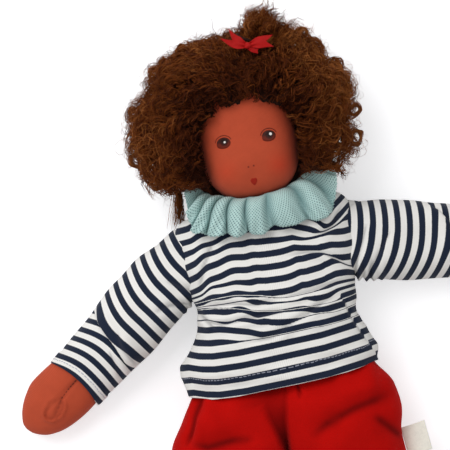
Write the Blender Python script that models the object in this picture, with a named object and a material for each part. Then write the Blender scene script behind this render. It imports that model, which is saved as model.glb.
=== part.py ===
"""A soft cloth doll lying on its back: stuffed jersey limbs, mohair wig, net ruffle, shirt and trousers.

The frame: +Z up through the face, +Y towards the crown, the origin on the flat of the shirt's back
between the shoulder blades. Lengths are in metres.
"""

import math

import bmesh
import bpy
from mathutils import Matrix, Vector

# Clearances and cloth
GAP = 0.0003
FACET_GAP = 0.0006
CLOTH = 0.0012
JERSEY = 0.0010
FLAT_DEPTH = 0.0005
CUT_OVERRUN = 0.010
SIDE = Vector((1, 0, 0))
CROWN = Vector((0, 1, 0))
UP = Vector((0, 0, 1))

# Trunk
TRUNK_TOP = 0.053
TRUNK_LENGTH = 0.143
TRUNK_HALF_WIDTH = 0.060
TRUNK_DEPTH = 0.055
HEM = -0.0516
WAIST = -0.030
HIP_FLARE = -0.0600
HIP_SHIFT = 0.012
HIP_SHIFT_START = 0.030
HIP_SHIFT_SPAN = 0.122
SHOULDER_SLOPE_START = 0.030
# Share of the length up from the seat; then half-width, back and front as shares of width and depth
TRUNK_SHARES = (
    (0.000, 1.13, 0.030, 0.90),
    (0.100, 1.13, 0.010, 0.92),
    (0.185, 1.08, 0.000, 0.93),
    (0.270, 1.00, 0.000, 0.92),
    (0.375, 1.00, 0.000, 0.97),
    (0.490, 0.93, 0.000, 1.00),
    (0.630, 0.89, 0.000, 1.00),
    (0.770, 0.91, 0.000, 0.96),
    (0.870, 0.92, 0.000, 0.92),
    (0.940, 0.84, 0.060, 0.90),
    (0.975, 0.64, 0.150, 0.90),
    (0.992, 0.45, 0.220, 0.90),
    (1.000, 0.34, 0.245, 0.90),
)
# Where the rings of the body and of all that it wears stand, as shares of the length
STATION_SHARES = (0.0, 0.10, 0.18, 0.27, 0.36, 0.45, 0.55, 0.66, 0.77, 0.87, 0.93, 0.965, 0.985, 1.0)
TRUNK_SIDES = 22

# Neck and head
NECK_HEIGHT = 0.032
NECK_PIVOT = 0.048
NECK_BALL_RADIUS = 0.0110
NECK_RADIUS = 0.0100
TIE_THREAD = 0.0006
TIE_TURNS = 3
TIE_PITCH = 0.0016
HEAD_CENTRE = 0.107
HEAD_HEIGHT = 0.040
HEAD_HALF_WIDTH = 0.032
HEAD_HALF_LENGTH = 0.045
HEAD_HALF_DEPTH = 0.031
HEAD_MOUTH_DEG = 17
FACE_CENTRE = 0.0935
FACE_HALF_WIDTH = 0.0297
FACE_HALF_LENGTH = 0.0318
WIG_CAP = 0.0010
HEAD_STEPS = 10
HEAD_SIDES = 20
CAP_OPEN_STEPS = 2
EYE_SPACING = 0.0282
EYE_ABOVE_CHIN = 0.0376
EYE_RADIUS = 0.00385
MOUTH_ABOVE_CHIN = 0.0115
MOUTH_HALF_WIDTH = 0.0023
MOUTH_LENGTH = 0.0048
EMBROIDERY = 0.0006

# Hair, topknot and bow
HAIR_CENTRE = 0.1145
HAIR_HEIGHT = 0.034
HAIR_HALF_WIDTH = 0.0735
HAIR_HALF_LENGTH = 0.0500
HAIR_HALF_DEPTH = 0.0420
HAIR_LUMP_SHARE = 0.035
HAIR_NECK_RADIUS = 0.022
TOPKNOT_ROOT_SHARE = (0.112, 0.76, 0.46)
TOPKNOT_LEAN_SHARE = (0.47, 0.885, 0.28)
TOPKNOT_LENGTH = 0.0340
TOPKNOT_RADIUS = 0.0165
# Share of the topknot's length and of its radius, from the root outwards
TOPKNOT_SHARES = (
    (0.0, 0.34),
    (0.18, 0.33),
    (0.34, 0.35),
    (0.55, 0.76),
    (0.70, 1.0),
    (0.84, 0.90),
    (0.95, 0.55),
    (1.0, 0.25),
)
ELASTIC_THREAD = 0.0009
ELASTIC_SHARE = 0.24
BOW_WING = 0.0150
BOW_WIDTH = 0.0085
BOW_WING_DEG = (-2.0, 135.0)
BOW_WAIST_SHARE = 0.45
BOW_NOTCH_SHARE = 0.30
BOW_CURL = 0.0016
RIBBON = 0.0008
KNOT_LENGTH = 0.0052
KNOT_HEIGHT = 0.0018

# Ruffle collar
RUFFLE_LINE = 0.0575
RUFFLE_OUTER_SIDE = 0.0460
RUFFLE_OUTER_FRONT = 0.0285
RUFFLE_OUTER_BACK = 0.0235
RUFFLE_DROP_FRONT = 0.0105
RUFFLE_RISE_SIDE = 0.0060
RUFFLE_BILLOW = 0.0060
RUFFLE_WAVE = 0.0036
RUFFLE_FOLDS = 11
RUFFLE_NET = 0.0009
RUFFLE_STEPS = 3
CORD_THREAD = 0.0009
BINDING_HEIGHT = 0.0018

# Arms, measured along the limb from the shoulder pivot
SHOULDER_OUT = 0.0540
SHOULDER_UP_BODY = 0.0305
SHOULDER_HEIGHT = 0.0215
ARM_REST_DEG = {"left": 53.5, "right": 75.0}
ARM_LOWEST_DEG = 38.0
SLEEVE_BALL = 0.0175
SLEEVE_LENGTH = 0.1005
SLEEVE_HALF_WIDTH = 0.0222
SLEEVE_HALF_DEPTH = 0.0178
SLEEVE_MOUTH_DEG = 137
ARM_BALL = 0.0160
ARM_LENGTH = 0.1420
ARM_HALF_WIDTH = 0.0188
ARM_HALF_DEPTH = 0.0155
ARM_MOUTH_DEG = 150
HAND_BEND = 0.0022
SOCKET_RADIUS = 0.0200
ARMHOLE_REACH = 0.045
ARMHOLE_CLEARANCE = 0.0017
SHOULDER_THREAD = 0.0008
SHOULDER_THREAD_DEG = 31
# Share of the sleeve's length, of its half-width and of its half-depth
SLEEVE_SHARES = (
    (0.08, 0.84, 0.97),
    (0.22, 0.92, 0.98),
    (0.42, 1.00, 1.00),
    (0.60, 0.99, 0.97),
    (0.80, 0.93, 0.90),
    (1.00, 0.90, 0.83),
)
# Share of the arm's length, of its half-width and half-depth, and of the hand's sideways bend
ARM_SHARES = (
    (0.08, 0.82, 0.98, 0.0),
    (0.30, 0.82, 0.96, 0.0),
    (0.52, 0.84, 0.88, 0.0),
    (0.68, 0.96, 0.84, 0.0),
    (0.78, 0.99, 0.82, 0.5),
    (0.85, 0.97, 0.80, 0.9),
    (0.91, 0.80, 0.72, 1.0),
    (0.96, 0.54, 0.56, 1.0),
    (0.99, 0.28, 0.32, 1.2),
    (1.00, 0.08, 0.12, 1.2),
)
ARM_DROP = 0.0105
ARM_SIDES = 14
BALL_STEPS = 3

# Legs, measured along the limb from the hip pivot
HIP_SEAM = -0.0900
HIP_HEIGHT = 0.0260
HIP_CENTRE_GAP = 0.0016
LEG_SPLAY_DEG = {"left": 7.0, "right": 1.5}
TROUSER_RADIUS = 0.0252
TROUSER_HALF_WIDTH = 0.0352
TROUSER_LENGTH = 0.1160
TROUSER_MOUTH_DEG = 25
LEG_RADIUS = 0.0236
LEG_HALF_WIDTH = 0.0255
LEG_LENGTH = 0.1280
LEG_DROP = 0.0085
HIP_CLEARANCE = 0.0008
LAP_CLEARANCE = 0.0012
# Share of the trouser leg's length, of its half-width and of its radius as half-depth
TROUSER_SHARES = (
    (0.10, 1.02, 0.99),
    (0.30, 1.00, 0.93),
    (0.55, 0.93, 0.84),
    (0.80, 0.84, 0.76),
    (1.00, 0.76, 0.70),
)
LEG_SHARES = (
    (0.12, 0.96, 0.93),
    (0.35, 0.84, 0.78),
    (0.65, 0.70, 0.65),
    (0.88, 0.60, 0.58),
)
FOOT_BEND = 0.0150
FOOT_LENGTH = 0.0330
FOOT_HALF_WIDTH = 0.0155
FOOT_HALF_THICK = 0.0120
FOOT_SHARES = ((0.25, 1.0, 1.0), (0.60, 1.05, 0.92), (0.85, 0.85, 0.70), (0.97, 0.50, 0.42), (1.0, 0.20, 0.18))
LEG_SIDES = 14
ELASTIC_BAND = 0.0009
ELASTIC_HEIGHT = 0.0080
LABEL_WIDTH = 0.0138
LABEL_HEIGHT = 0.0185
LABEL_THICKNESS = 0.0007
LABEL_ALONG = 0.0045

# Colours as red, green, blue and roughness
SKIN = (0.42, 0.085, 0.032, 0.85)
WOOL = (0.83, 0.76, 0.62, 0.95)
HAIR = (0.060, 0.018, 0.007, 0.80)
RED = (0.42, 0.010, 0.008, 0.75)
MINT = (0.30, 0.50, 0.49, 0.85)
SHIRT_WHITE = (0.78, 0.77, 0.74, 0.85)
NAVY = (0.012, 0.016, 0.045, 0.85)
THREAD = (0.72, 0.66, 0.55, 0.80)
EYE_BROWN = (0.035, 0.012, 0.006, 0.45)
LIP_RED = (0.46, 0.035, 0.015, 0.80)
LABEL_CREAM = (0.76, 0.70, 0.58, 0.85)


def clear_scene():
    """Remove whatever the file holds."""
    for obj in list(bpy.data.objects):
        bpy.data.objects.remove(obj, do_unlink=True)


def material(name, colour):
    """A plain Principled finish."""
    made = bpy.data.materials.new(name)
    made.use_nodes = True
    shader = made.node_tree.nodes["Principled BSDF"]
    red, green, blue, roughness = colour
    shader.inputs["Base Color"].default_value = (red, green, blue, 1)
    shader.inputs["Roughness"].default_value = roughness
    shader.inputs["Metallic"].default_value = 0
    made.diffuse_color = (red, green, blue, 1)
    return made


def joint_empty(name, place, parent=None):
    """An empty that stands on a joint's axis."""
    empty = bpy.data.objects.new(name, None)
    bpy.context.collection.objects.link(empty)
    empty.parent = parent
    empty.location = place - (parent.matrix_world.translation if parent else Vector())
    bpy.context.view_layer.update()
    return empty


def piece(name, bm, colour, carrier=None):
    """One named solid whose origin is its carrier's joint."""
    bmesh.ops.recalc_face_normals(bm, faces=bm.faces)
    origin = carrier.matrix_world.translation if carrier else Vector()
    bmesh.ops.translate(bm, vec=-origin, verts=bm.verts)
    mesh = bpy.data.meshes.new(name)
    bm.to_mesh(mesh)
    bm.free()
    mesh.shade_smooth()
    mesh.set_sharp_from_angle(angle=math.radians(50))
    obj = bpy.data.objects.new(name, mesh)
    obj.parent = carrier
    mesh.materials.append(material(name, colour))
    bpy.context.collection.objects.link(obj)
    return obj


def cutter(name, bm):
    """A helper solid for Booleans, left out of the model."""
    obj = piece(name, bm, THREAD)
    obj.hide_render = True
    obj.display_type = "WIRE"
    return obj


def thicken(obj, thickness):
    """Give an open skin its thickness, inwards."""
    wall = obj.modifiers.new("wall", "SOLIDIFY")
    wall.thickness = thickness
    wall.offset = -1
    wall.use_even_offset = True
    wall.use_rim = True


def cut(obj, tool):
    """Take the tool's shape out of a piece."""
    boolean = obj.modifiers.new(tool.name, "BOOLEAN")
    boolean.object = tool
    boolean.operation = "DIFFERENCE"
    boolean.solver = "EXACT"


def oval(centre, side, up, half_width, half_height, count, fullness=2.0):
    """Points round a superellipse that spans two directions."""
    points = []
    for step in range(count):
        angle = 2 * math.pi * step / count
        cosine, sine = math.cos(angle), math.sin(angle)
        across = math.copysign(abs(cosine) ** (2 / fullness), cosine)
        above = math.copysign(abs(sine) ** (2 / fullness), sine)
        points.append(centre + side * (half_width * across) + up * (half_height * above))
    return points


def on_floor(points, floor=0.0):
    """Flatten what would sink below the floor."""
    return [Vector((p.x, p.y, max(p.z, floor))) for p in points]


def loft(sections, close_start=False, close_end=False):
    """Extrude a ring through the sections, and close the ends that are asked for."""
    bm = bmesh.new()
    ring = bmesh.ops.create_circle(bm, segments=len(sections[0]), radius=1)["verts"]
    order = {vert: place for place, vert in enumerate(ring)}
    for vert, place in order.items():
        vert.co = sections[0][place]
    edges = list(bm.edges)
    if close_start:
        bmesh.ops.edgeloop_fill(bm, edges=edges)
    for section in sections[1:]:
        grown = bmesh.ops.extrude_edge_only(bm, edges=edges)["geom"]
        edges = [part for part in grown if isinstance(part, bmesh.types.BMEdge)]
        ends = [part for part in grown if isinstance(part, bmesh.types.BMVert)]
        following = {}
        for vert in ends:
            source = next(other for other in (e.other_vert(vert) for e in vert.link_edges) if other in order)
            following[vert] = order[source]
        for vert, place in following.items():
            vert.co = section[place]
        order = following
    if close_end:
        bmesh.ops.edgeloop_fill(bm, edges=edges)
    return bm


def between(table, at):
    """Read a table of shares at a place, along smooth curves through its rows."""
    last = len(table) - 1
    index = 0
    while index < last - 1 and at > table[index + 1][0]:
        index += 1
    start, end = table[index], table[index + 1]
    before = table[max(index - 1, 0)]
    after = table[min(index + 2, last)]
    span = end[0] - start[0]
    part = min(max((at - start[0]) / span, 0.0), 1.0)
    values = []
    for column in range(1, len(start)):
        slope_in = (end[column] - before[column]) / (end[0] - before[0]) * span
        slope_out = (after[column] - start[column]) / (after[0] - start[0]) * span
        square, cube = part**2, part**3
        values.append(
            (2 * cube - 3 * square + 1) * start[column]
            + (cube - 2 * square + part) * slope_in
            + (3 * square - 2 * cube) * end[column]
            + (cube - square) * slope_out
        )
    return values


def torus(centre, axis, radius, thread, turns=24, sides=8):
    """A closed ring of thread about an axis."""
    bm = bmesh.new()
    side = axis.orthogonal().normalized()
    profile = oval(centre + side * radius, side, axis.normalized(), thread, thread, sides)
    verts = [bm.verts.new(point) for point in profile]
    edges = [bm.edges.new((verts[step - 1], verts[step])) for step in range(sides)]
    bmesh.ops.spin(
        bm, geom=verts + edges, cent=centre, axis=axis, angle=2 * math.pi, steps=turns, use_merge=True
    )
    return bm


# Trunk and its clothes


def trunk_shift(y):
    """How far the body's middle lies to its right, as the hips swing aside."""
    along = max(HIP_SHIFT_START - y, 0.0) / HIP_SHIFT_SPAN
    return -HIP_SHIFT * along**2


def trunk_ring(y, inset):
    """The body's outline at a place along it, drawn in by an inset."""
    share = (y - TRUNK_TOP + TRUNK_LENGTH) / TRUNK_LENGTH
    width, back, front = between(TRUNK_SHARES, share)
    low = back * TRUNK_DEPTH - FLAT_DEPTH
    high = front * TRUNK_DEPTH - inset
    low_edge = max(low, -FLAT_DEPTH) + inset
    centre = Vector((trunk_shift(y), y, (low_edge + high) / 2))
    half_width = width * TRUNK_HALF_WIDTH - inset
    points = oval(centre, SIDE, UP, half_width, (high - low_edge) / 2, TRUNK_SIDES, 2.5)
    return on_floor(points, inset)


def stations(start, end):
    """Places along the body between two ends, at the shared stations."""
    places = [TRUNK_TOP - TRUNK_LENGTH * (1 - share) for share in STATION_SHARES]
    inner = [place for place in places if start + FACET_GAP < place < end - FACET_GAP]
    return [start] + inner + [end]


def trunk_rings(start, end, inset):
    """Rings of the body between two places along it."""
    return [trunk_ring(place, inset) for place in stations(start, end)]


def armhole_cutter(name, sign, clearance):
    """A turned dish about the shoulder's swing axis: the socket, then the sleeve's lowest sweep."""
    pivot = Vector((sign * SHOULDER_OUT, SHOULDER_UP_BODY, SHOULDER_HEIGHT))
    outward = SIDE * sign
    lowest = math.radians(90 - ARM_LOWEST_DEG)
    along = Vector((math.cos(lowest), math.sin(lowest)))
    across = Vector((-math.sin(lowest), math.cos(lowest)))
    socket = SOCKET_RADIUS + clearance
    profile = []
    for step in range(1, 5):
        angle = math.radians(58) * step / 4
        profile.append(Vector((-socket * math.cos(angle), socket * math.sin(angle))))
    reach = ARMHOLE_REACH
    flare = (SLEEVE_HALF_WIDTH - SLEEVE_BALL) * reach / (reach + SLEEVE_BALL)
    wide = SLEEVE_BALL + ARMHOLE_CLEARANCE + clearance + flare
    profile.append(along * reach + across * wide)
    profile.append(Vector((SHOULDER_OUT / 2, profile[-1].y)))
    rings = []
    for point in profile:
        rings.append(oval(pivot + outward * point.x, CROWN, UP, point.y, point.y, 24))
    return cutter(name, loft(rings, close_start=True, close_end=True))


def lap_cutter(name, clearance):
    """The room that the legs turn in: a roll across the hips and the space in front of it."""
    radius = TROUSER_RADIUS + clearance
    front = radius + LAP_CLEARANCE
    half = TRUNK_HALF_WIDTH + TROUSER_HALF_WIDTH
    outline = []
    for step in range(13):
        angle = math.pi * (1 + step / 12)
        outline.append(Vector((0, HIP_SEAM - radius * math.cos(angle), HIP_HEIGHT + radius * math.sin(angle))))
    outline.append(Vector((0, HIP_SEAM + front, HIP_HEIGHT)))
    outline.append(Vector((0, HIP_SEAM + front, TRUNK_DEPTH + CUT_OVERRUN)))
    outline.append(Vector((0, HIP_SEAM - radius, TRUNK_DEPTH + CUT_OVERRUN)))
    outline.sort(key=lambda p: math.atan2(p.z - HIP_HEIGHT, p.y - HIP_SEAM))
    ends = [[p + SIDE * (side * half) for p in outline] for side in (-1, 1)]
    return cutter(name, loft(ends, close_start=True, close_end=True))


def build_trunk():
    """Torso, shirt, neckline binding, hips of the trousers and waist elastic."""
    armholes = [armhole_cutter("armhole_left", -1, 0.0), armhole_cutter("armhole_right", 1, 0.0)]
    lap = lap_cutter("lap", HIP_CLEARANCE)

    shirt = piece("shirt_body", loft(trunk_rings(HEM, TRUNK_TOP, 0.0)), SHIRT_WHITE)
    thicken(shirt, CLOTH)
    seam = GAP + FACET_GAP
    binding_rings = [shifted(trunk_ring(TRUNK_TOP, 0.0), up) for up in (seam, seam + BINDING_HEIGHT)]
    thicken(piece("neckline_binding", loft(binding_rings), NAVY), CLOTH)

    seat = HIP_SEAM + TROUSER_RADIUS / 3
    skin = piece("torso_skin", loft(torso_rings(seat, TRUNK_TOP, 0.0), close_start=True), SKIN)
    thicken(skin, JERSEY)
    wool = piece("torso_wool", loft(torso_rings(seat, NECK_PIVOT, JERSEY + GAP), True, True), WOOL)
    cut(wool, neck_cutter())
    for body in (shirt, skin, wool):
        for tool in armholes:
            cut(body, tool)

    hips = piece("trousers_hips", loft(hip_rings()), RED)
    thicken(hips, CLOTH)
    for body in (hips, skin, wool):
        cut(body, lap)

    band = trunk_rings(WAIST - ELASTIC_HEIGHT, WAIST, 2 * CLOTH + 3 * GAP + FACET_GAP)
    thicken(piece("waist_elastic", loft(band), THREAD), ELASTIC_BAND)


def shifted(ring, along):
    """A ring moved along the body."""
    return [point + CROWN * along for point in ring]


def torso_rings(start, end, extra):
    """The stuffed body inside the clothes: close to the shirt above, drawn in under the waistband."""
    rest = CLOTH + GAP
    drawn_in = 2 * CLOTH + ELASTIC_BAND + 4 * GAP + 2 * FACET_GAP
    rings = []
    for place in stations(start, end):
        waist = min(1.0, max(0.0, (HIP_SHIFT_START - place) / (HIP_SHIFT_START - WAIST)))
        inset = rest + (drawn_in - rest) * waist + extra
        slope = max(0.0, place - SHOULDER_SLOPE_START) / (TRUNK_TOP - SHOULDER_SLOPE_START)
        rings.append(shifted(trunk_ring(place, inset), -(rest + FACET_GAP + extra) * slope))
    return rings


def hip_rings():
    """Trousers from the waist casing, tucked under the shirt, out to the full hips."""
    tucked = CLOTH + 2 * GAP
    rings = []
    for place in reversed(stations(HIP_SEAM, WAIST)):
        flare = min(1.0, max(0.0, (HEM - CLOTH - place) / (HEM - HIP_FLARE)))
        rings.append(trunk_ring(place, tucked * (1 - flare)))
    return rings


# Neck


def neck_cutter():
    """The socket that the neck's root nods in."""
    pivot = Vector((0, NECK_PIVOT, NECK_HEIGHT))
    bm = bmesh.new()
    bmesh.ops.create_uvsphere(
        bm, u_segments=20, v_segments=12, radius=NECK_BALL_RADIUS + GAP, matrix=Matrix.Translation(pivot)
    )
    return cutter("neck_socket", bm)


def neck_top():
    """Where the neck ends, just under the rim of the head's skin."""
    rim = HEAD_CENTRE - HEAD_HALF_LENGTH * math.cos(math.radians(HEAD_MOUTH_DEG))
    return rim - GAP


def neck_column():
    """A wool column with a ball root, closed under the head."""
    rings = []
    for step in range(5):
        angle = math.radians(20 + 95 * step / 4)
        y = NECK_PIVOT - NECK_BALL_RADIUS * math.cos(angle)
        radius = NECK_BALL_RADIUS * math.sin(angle)
        rings.append(oval(Vector((0, y, NECK_HEIGHT)), SIDE, UP, radius, radius, 20))
    for below in (NECK_RADIUS / 2, EMBROIDERY, 0.0):
        radius = NECK_RADIUS if below > 0 else NECK_RADIUS - EMBROIDERY
        rings.append(oval(Vector((0, neck_top() - below, NECK_HEIGHT)), SIDE, UP, radius, radius, 20))
    return loft(rings, close_start=True, close_end=True)


def thread_tube(points, thread, sides=4):
    """A round thread along points, closed at both ends."""
    rings = []
    for place, point in enumerate(points):
        before = points[max(place - 1, 0)]
        after = points[min(place + 1, len(points) - 1)]
        along = (after - before).normalized()
        out = (point - Vector((0, point.y, NECK_HEIGHT))).normalized()
        out = (out - along * out.dot(along)).normalized()
        rings.append(oval(point, out, along.cross(out), thread, thread, sides))
    return loft(rings, close_start=True, close_end=True)


def neck_tie_points():
    """The tie's turns round the neck, one thread's width and a little more apart."""
    steps = 16 * TIE_TURNS
    radius = NECK_RADIUS + TIE_THREAD + GAP
    start = neck_top() - EMBROIDERY - TIE_THREAD * 2 - TIE_PITCH * TIE_TURNS
    points = []
    for step in range(steps + 1):
        angle = 2 * math.pi * TIE_TURNS * step / steps
        y = start + TIE_PITCH * TIE_TURNS * step / steps
        points.append(Vector((radius * math.cos(angle), y, NECK_HEIGHT + radius * math.sin(angle))))
    return points


# Head


def head_rings(inset, first=0, mouth_deg=HEAD_MOUTH_DEG):
    """Rings of the head from the opening at the neck up to the crown."""
    rings = []
    for step in range(first, HEAD_STEPS + 1):
        angle = math.radians(mouth_deg + (176 - mouth_deg) * step / HEAD_STEPS)
        centre = Vector((0, HEAD_CENTRE - (HEAD_HALF_LENGTH - inset) * math.cos(angle), HEAD_HEIGHT))
        width = (HEAD_HALF_WIDTH - inset) * math.sin(angle)
        depth = (HEAD_HALF_DEPTH - inset) * math.sin(angle)
        rings.append(oval(centre, SIDE, UP, width, depth, HEAD_SIDES))
    return rings


def head_surface(x, y):
    """The point of the face's surface over a place, and the direction out of it."""
    across = x / HEAD_HALF_WIDTH
    along = (y - HEAD_CENTRE) / HEAD_HALF_LENGTH
    out = math.sqrt(1 - across**2 - along**2)
    point = Vector((x, y, HEAD_HEIGHT + HEAD_HALF_DEPTH * out))
    normal = Vector((across / HEAD_HALF_WIDTH, along / HEAD_HALF_LENGTH, out / HEAD_HALF_DEPTH))
    return point, normal.normalized()


def embroidered(outline, x, y):
    """A flat patch of stitches laid on the face, with a softened edge."""
    point, normal = head_surface(x, y)
    crownward = (CROWN - normal * CROWN.dot(normal)).normalized()
    sideward = crownward.cross(normal)
    rings = []
    for lift, scale in ((GAP, 1.0), (GAP + EMBROIDERY / 2, 1.0), (GAP + EMBROIDERY, 0.8)):
        base = point + normal * lift
        rings.append([base + (sideward * p.x + crownward * p.y) * scale for p in outline])
    return loft(rings, close_start=True, close_end=True)


def eye_outline():
    """A round eye."""
    return oval(Vector(), SIDE, CROWN, EYE_RADIUS, EYE_RADIUS, 16)


def mouth_outline():
    """A small mouth, wide above and pointed below."""
    points = []
    for step in range(14):
        angle = 2 * math.pi * step / 14
        taper = 0.62 + 0.38 * math.sin(angle)
        points.append(
            Vector((MOUTH_HALF_WIDTH * math.cos(angle) * taper, MOUTH_LENGTH / 2 * math.sin(angle), 0))
        )
    return points


def face_cutter(name, margin):
    """The opening that the face shows through: an arch over a straight fall to the collar."""
    half = FACE_HALF_WIDTH + margin
    length = FACE_HALF_LENGTH + margin
    outline = []
    for step in range(17):
        angle = math.pi * step / 16
        outline.append(Vector((half * math.cos(angle), FACE_CENTRE + length * math.sin(angle), 0)))
    outline.append(Vector((-half, NECK_PIVOT, 0)))
    outline.append(Vector((half, NECK_PIVOT, 0)))
    top = HEAD_HEIGHT + HEAD_HALF_DEPTH + CUT_OVERRUN
    ends = [[p + UP * height for p in outline] for height in (HEAD_HEIGHT, top)]
    return cutter(name, loft(ends, close_start=True, close_end=True))


def hair_mass():
    """The wig's true outer shape, lumpy with bunched locks and flat where it lies."""
    bm = bmesh.new()
    bmesh.ops.create_uvsphere(bm, u_segments=26, v_segments=13, radius=1)
    for vert in bm.verts:
        unit = vert.co.normalized()
        around = math.atan2(unit.y, unit.x)
        bunch = (math.sin(7 * around + 1.3) + math.sin(13 * around + 4 * unit.z)) / 2
        swell = 1 + HAIR_LUMP_SHARE * bunch * math.sqrt(unit.x**2 + unit.y**2)
        height = HAIR_HEIGHT + unit.z * HAIR_HALF_DEPTH
        across = unit.x * HAIR_HALF_WIDTH * swell
        vert.co = Vector((across, HAIR_CENTRE + unit.y * HAIR_HALF_LENGTH * swell, height))
    geometry = bm.verts[:] + bm.edges[:] + bm.faces[:]
    flat = bmesh.ops.bisect_plane(bm, geom=geometry, plane_co=(0, 0, 0), plane_no=UP, clear_inner=True)
    rim = [part for part in flat["geom_cut"] if isinstance(part, bmesh.types.BMEdge)]
    bmesh.ops.edgeloop_fill(bm, edges=rim)
    return bm


def build_head(carrier):
    """Head, wig cap, wig and face."""
    head = piece("head_skin", loft(head_rings(0.0), close_end=True), SKIN, carrier)
    thicken(head, JERSEY)
    piece("head_wool", loft(head_rings(JERSEY + GAP), True, True), WOOL, carrier)

    cap_rings = head_rings(-WIG_CAP - GAP - FACET_GAP / 2, CAP_OPEN_STEPS)
    cap = piece("wig_cap", loft(cap_rings, close_end=True), THREAD, carrier)
    thicken(cap, WIG_CAP)
    cut(cap, face_cutter("cap_opening", WIG_CAP))

    hair = piece("mohair_wig", hair_mass(), HAIR, carrier)
    cut(hair, cutter("wig_inside", loft(head_rings(-WIG_CAP - 2 * GAP - FACET_GAP), True, True)))
    cut(hair, face_cutter("face_opening", 0.0))
    build_topknot(carrier, hair)

    chin = HEAD_CENTRE - HEAD_HALF_LENGTH
    for name, sign in (("eye_left", -1), ("eye_right", 1)):
        eye = embroidered(eye_outline(), sign * EYE_SPACING / 2, chin + EYE_ABOVE_CHIN)
        piece(name, eye, EYE_BROWN, carrier)
    piece("mouth", embroidered(mouth_outline(), 0.0, chin + MOUTH_ABOVE_CHIN), LIP_RED, carrier)


def topknot_profile():
    """The tied tuft's places along its lean, and its radii there."""
    return [(TOPKNOT_LENGTH * share, TOPKNOT_RADIUS * width) for share, width in TOPKNOT_SHARES]


def room_profile(ring_radius):
    """The room in the wig for the tuft and, as a groove, for its elastic."""
    reach = ELASTIC_THREAD + GAP
    tie = TOPKNOT_LENGTH * ELASTIC_SHARE
    groove = [(tie - reach, ring_radius + reach), (tie + reach, ring_radius + reach)]
    tuft = [(place - GAP * (place == 0), radius + GAP) for place, radius in topknot_profile()]
    return sorted([row for row in tuft if abs(row[0] - tie) > 2 * reach] + groove)


def build_topknot(carrier, hair):
    """The tied tuft in its dimple of the wig, its elastic, and the ribbon bow with its knot."""
    lean = Vector(TOPKNOT_LEAN_SHARE).normalized()
    side = lean.cross(UP).normalized()
    rise = side.cross(lean)
    size = Vector((HAIR_HALF_WIDTH, HAIR_HALF_LENGTH, HAIR_HALF_DEPTH))
    root = Vector((0, HAIR_CENTRE, HAIR_HEIGHT)) + size * Vector(TOPKNOT_ROOT_SHARE)

    def turned(profile):
        rings = [oval(root + lean * place, side, rise, radius, radius, 16) for place, radius in profile]
        return loft(rings, close_start=True, close_end=True)

    piece("topknot", turned(topknot_profile()), HAIR, carrier)
    stem = TOPKNOT_RADIUS * TOPKNOT_SHARES[1][1]
    ring_radius = stem + GAP + ELASTIC_THREAD
    tie = root + lean * (TOPKNOT_LENGTH * ELASTIC_SHARE)
    piece("topknot_elastic", torus(tie, lean, ring_radius, ELASTIC_THREAD, 18, 5), THREAD, carrier)
    cut(hair, cutter("topknot_room", turned(room_profile(ring_radius))))

    front = tie + rise * (ring_radius + ELASTIC_THREAD + GAP)
    piece("bow", bow_ribbon(front, rise), RED, carrier)
    knot = []
    for up, width in ((0.0, 0.9), (0.3, 1.0), (0.75, 0.8), (1.0, 0.35)):
        place = front + rise * (RIBBON + GAP + KNOT_HEIGHT * up)
        knot.append(oval(place, side, lean, KNOT_LENGTH / 2 * width, KNOT_LENGTH / 2 * width, 12))
    piece("bow_knot", loft(knot, True, True), RED, carrier)


def bow_ribbon(front, rise):
    """A short ribbon pinched at its middle, its two notched ends curling up."""
    sections = []
    right, left = [Vector((math.cos(angle), math.sin(angle), 0)) for angle in map(math.radians, BOW_WING_DEG)]
    for travel, wing, share in ((-left, left, 1.0), (-left, left, 0.5), (right - left, right, 0.0),
                                (right, right, 0.5), (right, right, 1.0)):
        travel = (travel - rise * travel.dot(rise)).normalized()
        along = (wing - rise * wing.dot(rise)).normalized()
        width = BOW_WIDTH / 2 * (BOW_WAIST_SHARE + (1 - BOW_WAIST_SHARE) * math.sqrt(share))
        across = rise.cross(travel) * width
        middle = front + rise * (BOW_CURL * share**2)
        edge = middle + along * (BOW_WING * share)
        notched = middle + along * (BOW_WING * share * (1 - BOW_NOTCH_SHARE * share**3))
        below = [edge - across, notched, edge + across]
        sections.append(below + [point + rise * RIBBON for point in reversed(below)])
    return loft(sections, True, True)


# Ruffle


def ruffle_point(angle, share, inner):
    """A place on the ruffle, by the angle round the neck and the share of the way out."""
    across, above = math.cos(angle), math.sin(angle)
    reach = RUFFLE_OUTER_FRONT if above > 0 else RUFFLE_OUTER_BACK
    front = max(above, 0.0)
    out_side = inner + (RUFFLE_OUTER_SIDE - inner) * share
    out_up = inner + (reach - inner) * share
    rise = RUFFLE_BILLOW * math.sin(math.pi * share)
    rise += (RUFFLE_RISE_SIDE * across**2 - RUFFLE_DROP_FRONT * front**2) * share**1.5
    rise += RUFFLE_WAVE * share * math.sin(RUFFLE_FOLDS * angle)
    return Vector((out_side * across, RUFFLE_LINE + rise, NECK_HEIGHT + out_up * above))


def build_ruffle(carrier):
    """The gathered net collar in its main folds, and the cord it is gathered on."""
    tied = NECK_RADIUS + GAP + 2 * TIE_THREAD
    cord_radius = tied + GAP + CORD_THREAD
    middle = Vector((0, RUFFLE_LINE, NECK_HEIGHT))
    piece("ruffle_cord", torus(middle, CROWN, cord_radius, CORD_THREAD, 18, 5), THREAD, carrier)

    inner = cord_radius + CORD_THREAD + GAP + FACET_GAP
    count = 6 * RUFFLE_FOLDS
    rings = []
    for row in range(RUFFLE_STEPS + 1):
        share = row / RUFFLE_STEPS
        rings.append([ruffle_point(2 * math.pi * step / count, share, inner) for step in range(count)])
    thicken(piece("ruffle", loft(rings), MINT, carrier), RUFFLE_NET)


# Arms


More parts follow.
